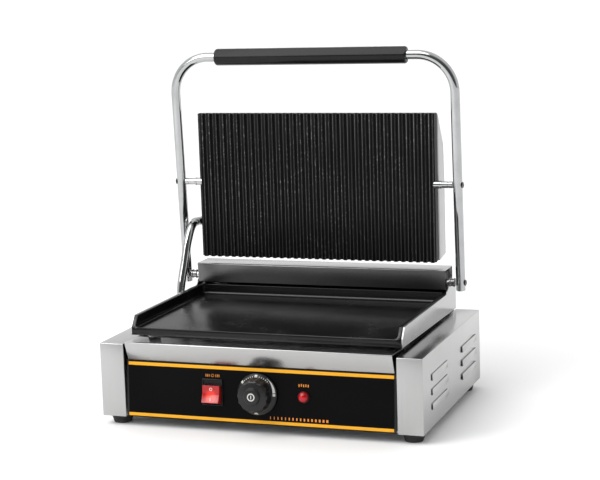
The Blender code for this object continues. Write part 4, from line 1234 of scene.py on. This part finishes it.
def make_arm_screws():
    """Domed socket screws on the outer side of both arms."""
    for side in SIDES:
        name = SIDE_NAMES[side]
        for label, place in (("hinge", HINGE), ("pivot", PIVOT)):
            node = f"arm_screw_{label}_{name}"
            low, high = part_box(node)
            tip = high.x if side > 0 else low.x
            head = 0.0014
            profile = [(0.0021, -0.0120), (0.0021, 0.0), (0.0040, 0.0), (0.0042, 0.0003),
                       (0.0040, head * 0.45), (0.0033, head * 0.80), (0.0024, head * 0.97), (0.0020, head)]
            screw = turned(f"socket_screw_{label}_{name}", profile, 36)
            mark(screw, "FACE", lambda middle, normal: normal.z > 0.95 and middle.xy.length < 0.0004)
            bpy.ops.mesh.inset(thickness=0.0003)
            draw_out((0, 0, -0.0014))
            done()
            lay(screw, (0, side * math.pi / 2, 0), (tip - side * (head + 0.0001), place.y, place.z))
            fit(screw, "bail", "screw_steel", (node,))


# ---- platen ----


def make_ribbed_plate():
    """One rib is shaped on a grid, repeated across the plate and backed by the casting."""
    low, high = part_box("upper_griddle")
    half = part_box("upper_cover")[1].x - 0.0005
    pitch = 2 * half / RIB_COUNT
    root = low.y + sizes().rib_depth
    settle()
    bpy.ops.mesh.primitive_grid_add(x_subdivisions=10, y_subdivisions=3, size=1)
    rib = freeze(bpy.context.active_object, "ribbed_plate")
    rib.data.transform(Matrix.Rotation(math.pi / 2, 4, "X"))
    rise = (0.0, 0.02, 0.30, 0.86, 0.99, 1.0, 0.99, 0.86, 0.30, 0.02, 0.0)
    width = (0.0, 0.12, 0.19, 0.26, 0.34, 0.50, 0.66, 0.74, 0.81, 0.88, 1.0)
    chamfer = 0.0016
    rows = (low.z, low.z + chamfer, high.z - chamfer, high.z)
    for point in rib.data.vertices:
        column = round((point.co.x + 0.5) * 10)
        row = round((point.co.z + 0.5) * 3)
        share = rise[column]
        end = row in (0, 3)
        notch = chamfer * 0.55 * (1 - share) * (1 if row == 0 else -1) if end else 0.0
        point.co = (-half + pitch * width[column], root - sizes().rib_depth * share * (0.55 if end else 1.0),
                    rows[row] + notch)
    finish_with(rib, "ARRAY", count=RIB_COUNT, use_relative_offset=False, use_constant_offset=True,
                constant_offset_displace=(pitch, 0, 0), use_merge_vertices=True, merge_threshold=0.00002)
    everything(rib)
    bpy.ops.mesh.select_mode(type="EDGE")
    bpy.ops.mesh.select_all(action="DESELECT")
    bpy.ops.mesh.select_non_manifold()
    draw_out((0, 0.0035, 0))
    bpy.ops.mesh.edge_face_add()
    done()
    point_outwards(rib)
    block = cuboid("casting", (-half + 0.0004, root + 0.0010, low.z + 0.0011),
                   (half - 0.0004, high.y, high.z - 0.0011))
    soften(block, 0.0012, 3)
    start = 0.1650
    for side in SIDES:
        reach = (high.x if side > 0 else -low.x) - start
        profile = [(0.0054, 0.0), (0.0054, reach - 0.0030), (0.0051, reach - 0.0026),
                   (0.0054, reach - 0.0022), (0.0054, reach - 0.0004), (0.0050, reach)]
        boss = turned(f"pivot_boss_{SIDE_NAMES[side]}", profile, SMALL_SIDES,
                      (side * start, PIVOT.y, PIVOT.z), (side, 0, 0))
        fit(boss, "platen", "chrome")
    plate = gather([rib, block], "ribbed_plate")
    fit(plate, "platen", "ribbed_iron", ("upper_griddle",), 38)


def make_cover():
    """Pressed cover behind the casting, with sloping top, rounded edges and four screws."""
    low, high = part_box("upper_cover")
    rise = high.z - low.z
    deep = high.y - low.y
    outline = [(low.y, high.z - 0.0002), (low.y + deep * 0.885, high.z - rise * 0.228),
               (high.y, high.z - rise * 0.55), (high.y, low.z + rise * 0.0215), (low.y, low.z)]
    cover = prism("cover_shell", outline, low.x, high.x)
    soften(cover, 0.0016, 4, 15)
    fit(cover, "platen", "cover_steel", ("upper_cover",), 28)
    add_screws("cover_screw", "platen", 0.0032,
               [(x, high.y - 0.0002, low.z + height) for x, height in COVER_SCREW_PLACES], sink=0.0012)


def catmull(points, steps):
    """Points of a smooth line through a route."""
    line = []
    padded = [points[0], *points, points[-1]]
    for before, here, after, beyond in zip(padded, padded[1:], padded[2:], padded[3:]):
        straight, curved, cubic = (
            after - before, 2 * before - 5 * here + 4 * after - beyond,
            3 * here - before - 3 * after + beyond)
        for k in range(steps):
            t = k / steps
            line.append(0.5 * (2 * here + straight * t + curved * t ** 2 + cubic * t ** 3))
    return [*line, points[-1]]


CONDUIT = tuple(Vector((x, FRONT_Y + depth, height)) for x, depth, height in (
    (-0.1786, 0.2646, 0.2275), (-0.1820, 0.2616, 0.2275), (-0.1842, 0.2560, 0.2268),
    (-0.1848, 0.2480, 0.2245), (-0.1852, 0.2405, 0.2190), (-0.1858, 0.2345, 0.2100),
    (-0.1866, 0.2285, 0.1984), (-0.1878, 0.2245, 0.1840), (-0.1890, 0.2212, 0.1712),
    (-0.1902, 0.2175, 0.1590), (-0.1912, 0.2139, 0.1467), (-0.1918, 0.2118, 0.1360),
    (-0.1920, 0.2110, 0.1270), (-0.1920, 0.2110, 0.1204),
))
CONDUIT_JOINT = 2               # where in the route the tube's two lengths meet
CONDUIT_RADIUS = 0.0058


def make_conduit():
    """Bright tube in two lengths that meet in a ring."""
    seam = CONDUIT[CONDUIT_JOINT]
    upper = wire("conduit_upper", catmull(CONDUIT[:CONDUIT_JOINT + 1], 3), CONDUIT_RADIUS, 9)
    lower = wire("conduit_lower", catmull(CONDUIT[CONDUIT_JOINT:], 3), CONDUIT_RADIUS, 9)
    for piece in (upper, lower):
        smooth(piece, 40)
        paint(piece, "chrome")
    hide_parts("conduit")
    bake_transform(lower)
    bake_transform(upper)
    along = CONDUIT[CONDUIT_JOINT + 1] - CONDUIT[CONDUIT_JOINT - 1]
    ring = turned("conduit_ring", [
        (CONDUIT_RADIUS, -0.0024), (0.0062, -0.0022), (0.0063, -0.0016), (0.0063, 0.0016), (0.0062, 0.0022),
        (CONDUIT_RADIUS, 0.0024)], SMALL_SIDES, seam, along)
    fit(ring, "bail", "chrome")
    low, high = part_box("conduit_ferrule")
    tall = high.z - low.z
    ferrule = turned("ferrule", [
        (0.0060, 0.0), (0.0071, 0.0), (0.0072, 0.0004), (0.0072, tall * 0.25), (0.0069, tall * 0.28),
        (0.0069, tall * 0.72), (0.0072, tall * 0.75), (0.0071, tall - 0.0003), (0.0068, tall)],
        SMALL_SIDES, (*middle_of("conduit_ferrule").xy, low.z))
    fit(ferrule, "base", "chrome", ("conduit_ferrule",))
    start = Vector((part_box("upper_cover")[0].x - 0.0003, FRONT_Y + 0.2720, CONDUIT[0].z))
    length = (CONDUIT[0] - start).length
    fitting = turned("elbow_fitting", [
        (0.0072, -0.0010), (0.0075, 0.0008), (0.0074, 0.0030), (0.0066, 0.0034), (0.0066, length - 0.0012),
        (0.0062, length + 0.0002), (CONDUIT_RADIUS, length + 0.0004)], SMALL_SIDES, start,
        CONDUIT[0] - start)
    everything(fitting)
    bpy.ops.mesh.bisect(plane_co=(start.x, 0, 0), plane_no=(1, 0, 0), use_fill=True, clear_outer=True)
    done()
    fit(point_outwards(fitting), "platen", "chrome", ("conduit_fitting",))


# ---- stage ----


def make_floor():
    """Large pale floor."""
    settle()
    bpy.ops.mesh.primitive_plane_add(size=90)
    floor = freeze(bpy.context.active_object, "floor")
    sheet = Sheet("floor")
    cloud = sheet.noise(0.7, 2.0, 0.5)
    sheet.dress(Base_Color=sheet.blend(cloud, (0.90, 0.90, 0.90, 1.0), (0.93, 0.93, 0.93, 1.0)),
                Roughness=cloud * 0.1 + 0.6)
    paint(floor, "floor")


def make_sky(strength):
    """Soft surroundings: white behind, above and beside the press, darker behind the camera."""
    world = bpy.data.worlds.new("studio")
    bpy.context.scene.world = world
    world.use_nodes = True
    world.node_tree.nodes.clear()
    sky = Wiring(world.node_tree)
    where = sky.node("ShaderNodeTexCoord").outputs["Generated"]
    turned_sky = sky.node("ShaderNodeMapping", None,
                          {"Vector": where, "Rotation": (0, 0, math.radians(-20))})
    _, depth, _ = sky.axes(turned_sky.outputs["Vector"])
    ramp = sky.node("ShaderNodeValToRGB", None, {0: sky.math("MULTIPLY_ADD", depth, 0.5, 0.5)})
    stops = ramp.color_ramp.elements
    stops[0].color = (0.10, 0.10, 0.105, 1.0)
    stops[1].color = (1.0, 1.0, 1.0, 1.0)
    for position, grey in ((0.16, 0.14), (0.26, 0.70), (0.45, 0.95)):
        stops.new(position).color = (grey, grey, grey, 1.0)
    light = sky.node("ShaderNodeBackground", None, {"Color": ramp.outputs[0], "Strength": strength})
    sky.node("ShaderNodeOutputWorld", None, {0: light.outputs[0]})


def make_lights(sun_strength):
    """A large overhead sun for an even floor and a softbox from the front left."""
    settle()
    bpy.ops.object.light_add(type="SUN", location=(0, 0, 3),
                             rotation=(math.radians(28), math.radians(-22), 0))
    sun = bpy.context.active_object
    sun.name = "overhead"
    sun.data.energy = sun_strength
    sun.data.angle = math.radians(50)
    bpy.ops.object.light_add(type="AREA", location=(-1.1, -1.5, 1.3))
    key = bpy.context.active_object
    key.name = "softbox"
    key.data.energy = 14
    key.data.shape = "RECTANGLE"
    key.data.size = 0.9
    key.data.size_y = 1.2
    key.rotation_euler = (Vector((0, 0, 0.2)) - key.location).to_track_quat("-Z", "Y").to_euler()


def make_camera(stage):
    """Camera, from its heading, height angle and roll."""
    heading, height, roll = stage.camera_turn
    back = Vector((math.sin(heading) * math.cos(height), -math.cos(heading) * math.cos(height),
                   math.sin(height)))
    right = Vector((math.cos(heading), math.sin(heading), 0))
    up = back.cross(right)
    rolled_right = math.cos(roll) * right - math.sin(roll) * up
    rolled_up = math.sin(roll) * right + math.cos(roll) * up
    settle()
    bpy.ops.object.camera_add()
    camera = bpy.context.active_object
    turn = Matrix((rolled_right, rolled_up, back)).transposed()
    camera.matrix_world = Matrix.Translation(Vector(stage.camera_offset) + Vector((0, FRONT_Y,
                                                                                   0))) @ turn.to_4x4()
    camera.data.sensor_width = 36.0
    camera.data.lens = stage.lens
    camera.data.clip_end = 200.0
    bpy.context.scene.camera = camera


# ---- operators, panel and registration ----


class PRESS_OT_finishes(bpy.types.Operator):
    """Make the materials and paint the nodes that stay in view"""

    bl_idname = "press.finishes"
    bl_label = "Materials"

    def execute(self, context):
        mix_finishes(context.scene.press_finish)
        for node, finish in KEPT_NODES.items():
            paint(frame["nodes"][node], finish)
        return {"FINISHED"}


class Maker:
    """What the makers of pieces share: each works through its functions."""

    makes = ()

    def execute(self, _context):
        for make in self.makes:
            make()
        return {"FINISHED"}


class PRESS_OT_casings(Maker, bpy.types.Operator):
    """Make the end casings with their louvres, and the feet"""

    bl_idname = "press.casings"
    bl_label = "Casings"
    makes = (make_casings, make_feet)


class PRESS_OT_tray(Maker, bpy.types.Operator):
    """Make the pull-out drip tray"""

    bl_idname = "press.tray"
    bl_label = "Drip Tray"
    makes = (make_tray,)


class PRESS_OT_back(Maker, bpy.types.Operator):
    """Make the cable inlet, screws and plate on the back"""

    bl_idname = "press.back"
    bl_label = "Back"
    makes = (make_gland, make_back_details)


class PRESS_OT_controls(Maker, bpy.types.Operator):
    """Make the switch, dial, lamp and printed marks"""

    bl_idname = "press.controls"
    bl_label = "Controls"
    makes = (make_switch, make_knob, make_lamp, make_panel_marks)


class PRESS_OT_griddle(Maker, bpy.types.Operator):
    """Make the lower griddle"""

    bl_idname = "press.griddle"
    bl_label = "Lower Griddle"
    makes = (make_griddle,)


class PRESS_OT_hinge(Maker, bpy.types.Operator):
    """Make the hinge cover, shaft, collars and springs"""

    bl_idname = "press.hinge"
    bl_label = "Hinge"
    makes = (make_hinge_box, make_hinge_shaft)


class PRESS_OT_bail(Maker, bpy.types.Operator):
    """Make the bail with its grip, rods and screws"""

    bl_idname = "press.bail"
    bl_label = "Bail"
    makes = (make_bail_tube, make_grip, make_rods, make_arm_screws)


class PRESS_OT_platen(Maker, bpy.types.Operator):
    """Make the ribbed plate and its cover"""

    bl_idname = "press.platen"
    bl_label = "Platen"
    makes = (make_ribbed_plate, make_cover)


class PRESS_OT_conduit(Maker, bpy.types.Operator):
    """Make the conduit with its ferrule and fitting"""

    bl_idname = "press.conduit"
    bl_label = "Conduit"
    makes = (make_conduit,)


class PRESS_OT_stage(bpy.types.Operator):
    """Set up floor, light and camera"""

    bl_idname = "press.stage"
    bl_label = "Stage"

    def execute(self, context):
        stage = context.scene.press_stage
        make_floor()
        make_sky(stage.sky)
        make_lights(stage.sun)
        make_camera(stage)
        context.scene.view_settings.view_transform = "Standard"
        return {"FINISHED"}


MAKERS = (
    PRESS_OT_finishes, PRESS_OT_casings, PRESS_OT_tray, PRESS_OT_back, PRESS_OT_controls, PRESS_OT_griddle,
    PRESS_OT_hinge, PRESS_OT_bail, PRESS_OT_platen, PRESS_OT_conduit, PRESS_OT_stage,
)


class PRESS_PT_sidebar(bpy.types.Panel):
    """Sidebar panel that lists the makers and their settings"""

    bl_label = "Panini Press"
    bl_idname = "PRESS_PT_sidebar"
    bl_space_type = "VIEW_3D"
    bl_region_type = "UI"
    bl_category = "Press"

    def draw(self, context):
        for group in (context.scene.press_shape, context.scene.press_finish, context.scene.press_stage):
            box = self.layout.box()
            for name in group.__annotations__:
                box.prop(group, name)
        for maker in MAKERS:
            self.layout.operator(maker.bl_idname)


CLASSES = (PressShape, PressFinish, PressStage, *MAKERS, PRESS_PT_sidebar)


def register():
    for each in CLASSES:
        bpy.utils.register_class(each)
    bpy.types.Scene.press_shape = bpy.props.PointerProperty(type=PressShape)
    bpy.types.Scene.press_finish = bpy.props.PointerProperty(type=PressFinish)
    bpy.types.Scene.press_stage = bpy.props.PointerProperty(type=PressStage)


def unregister():
    del bpy.types.Scene.press_stage
    del bpy.types.Scene.press_finish
    del bpy.types.Scene.press_shape
    for each in reversed(CLASSES):
        bpy.utils.unregister_class(each)


def main():
    """Build the whole press."""
    register()
    bpy.ops.press.finishes()
    bpy.ops.press.casings()
    bpy.ops.press.tray()
    bpy.ops.press.back()
    bpy.ops.press.controls()
    bpy.ops.press.griddle()
    bpy.ops.press.hinge()
    bpy.ops.press.bail()
    bpy.ops.press.platen()
    bpy.ops.press.conduit()
    bpy.ops.press.stage()
    settle()


if __name__ == "__main__":
    main()
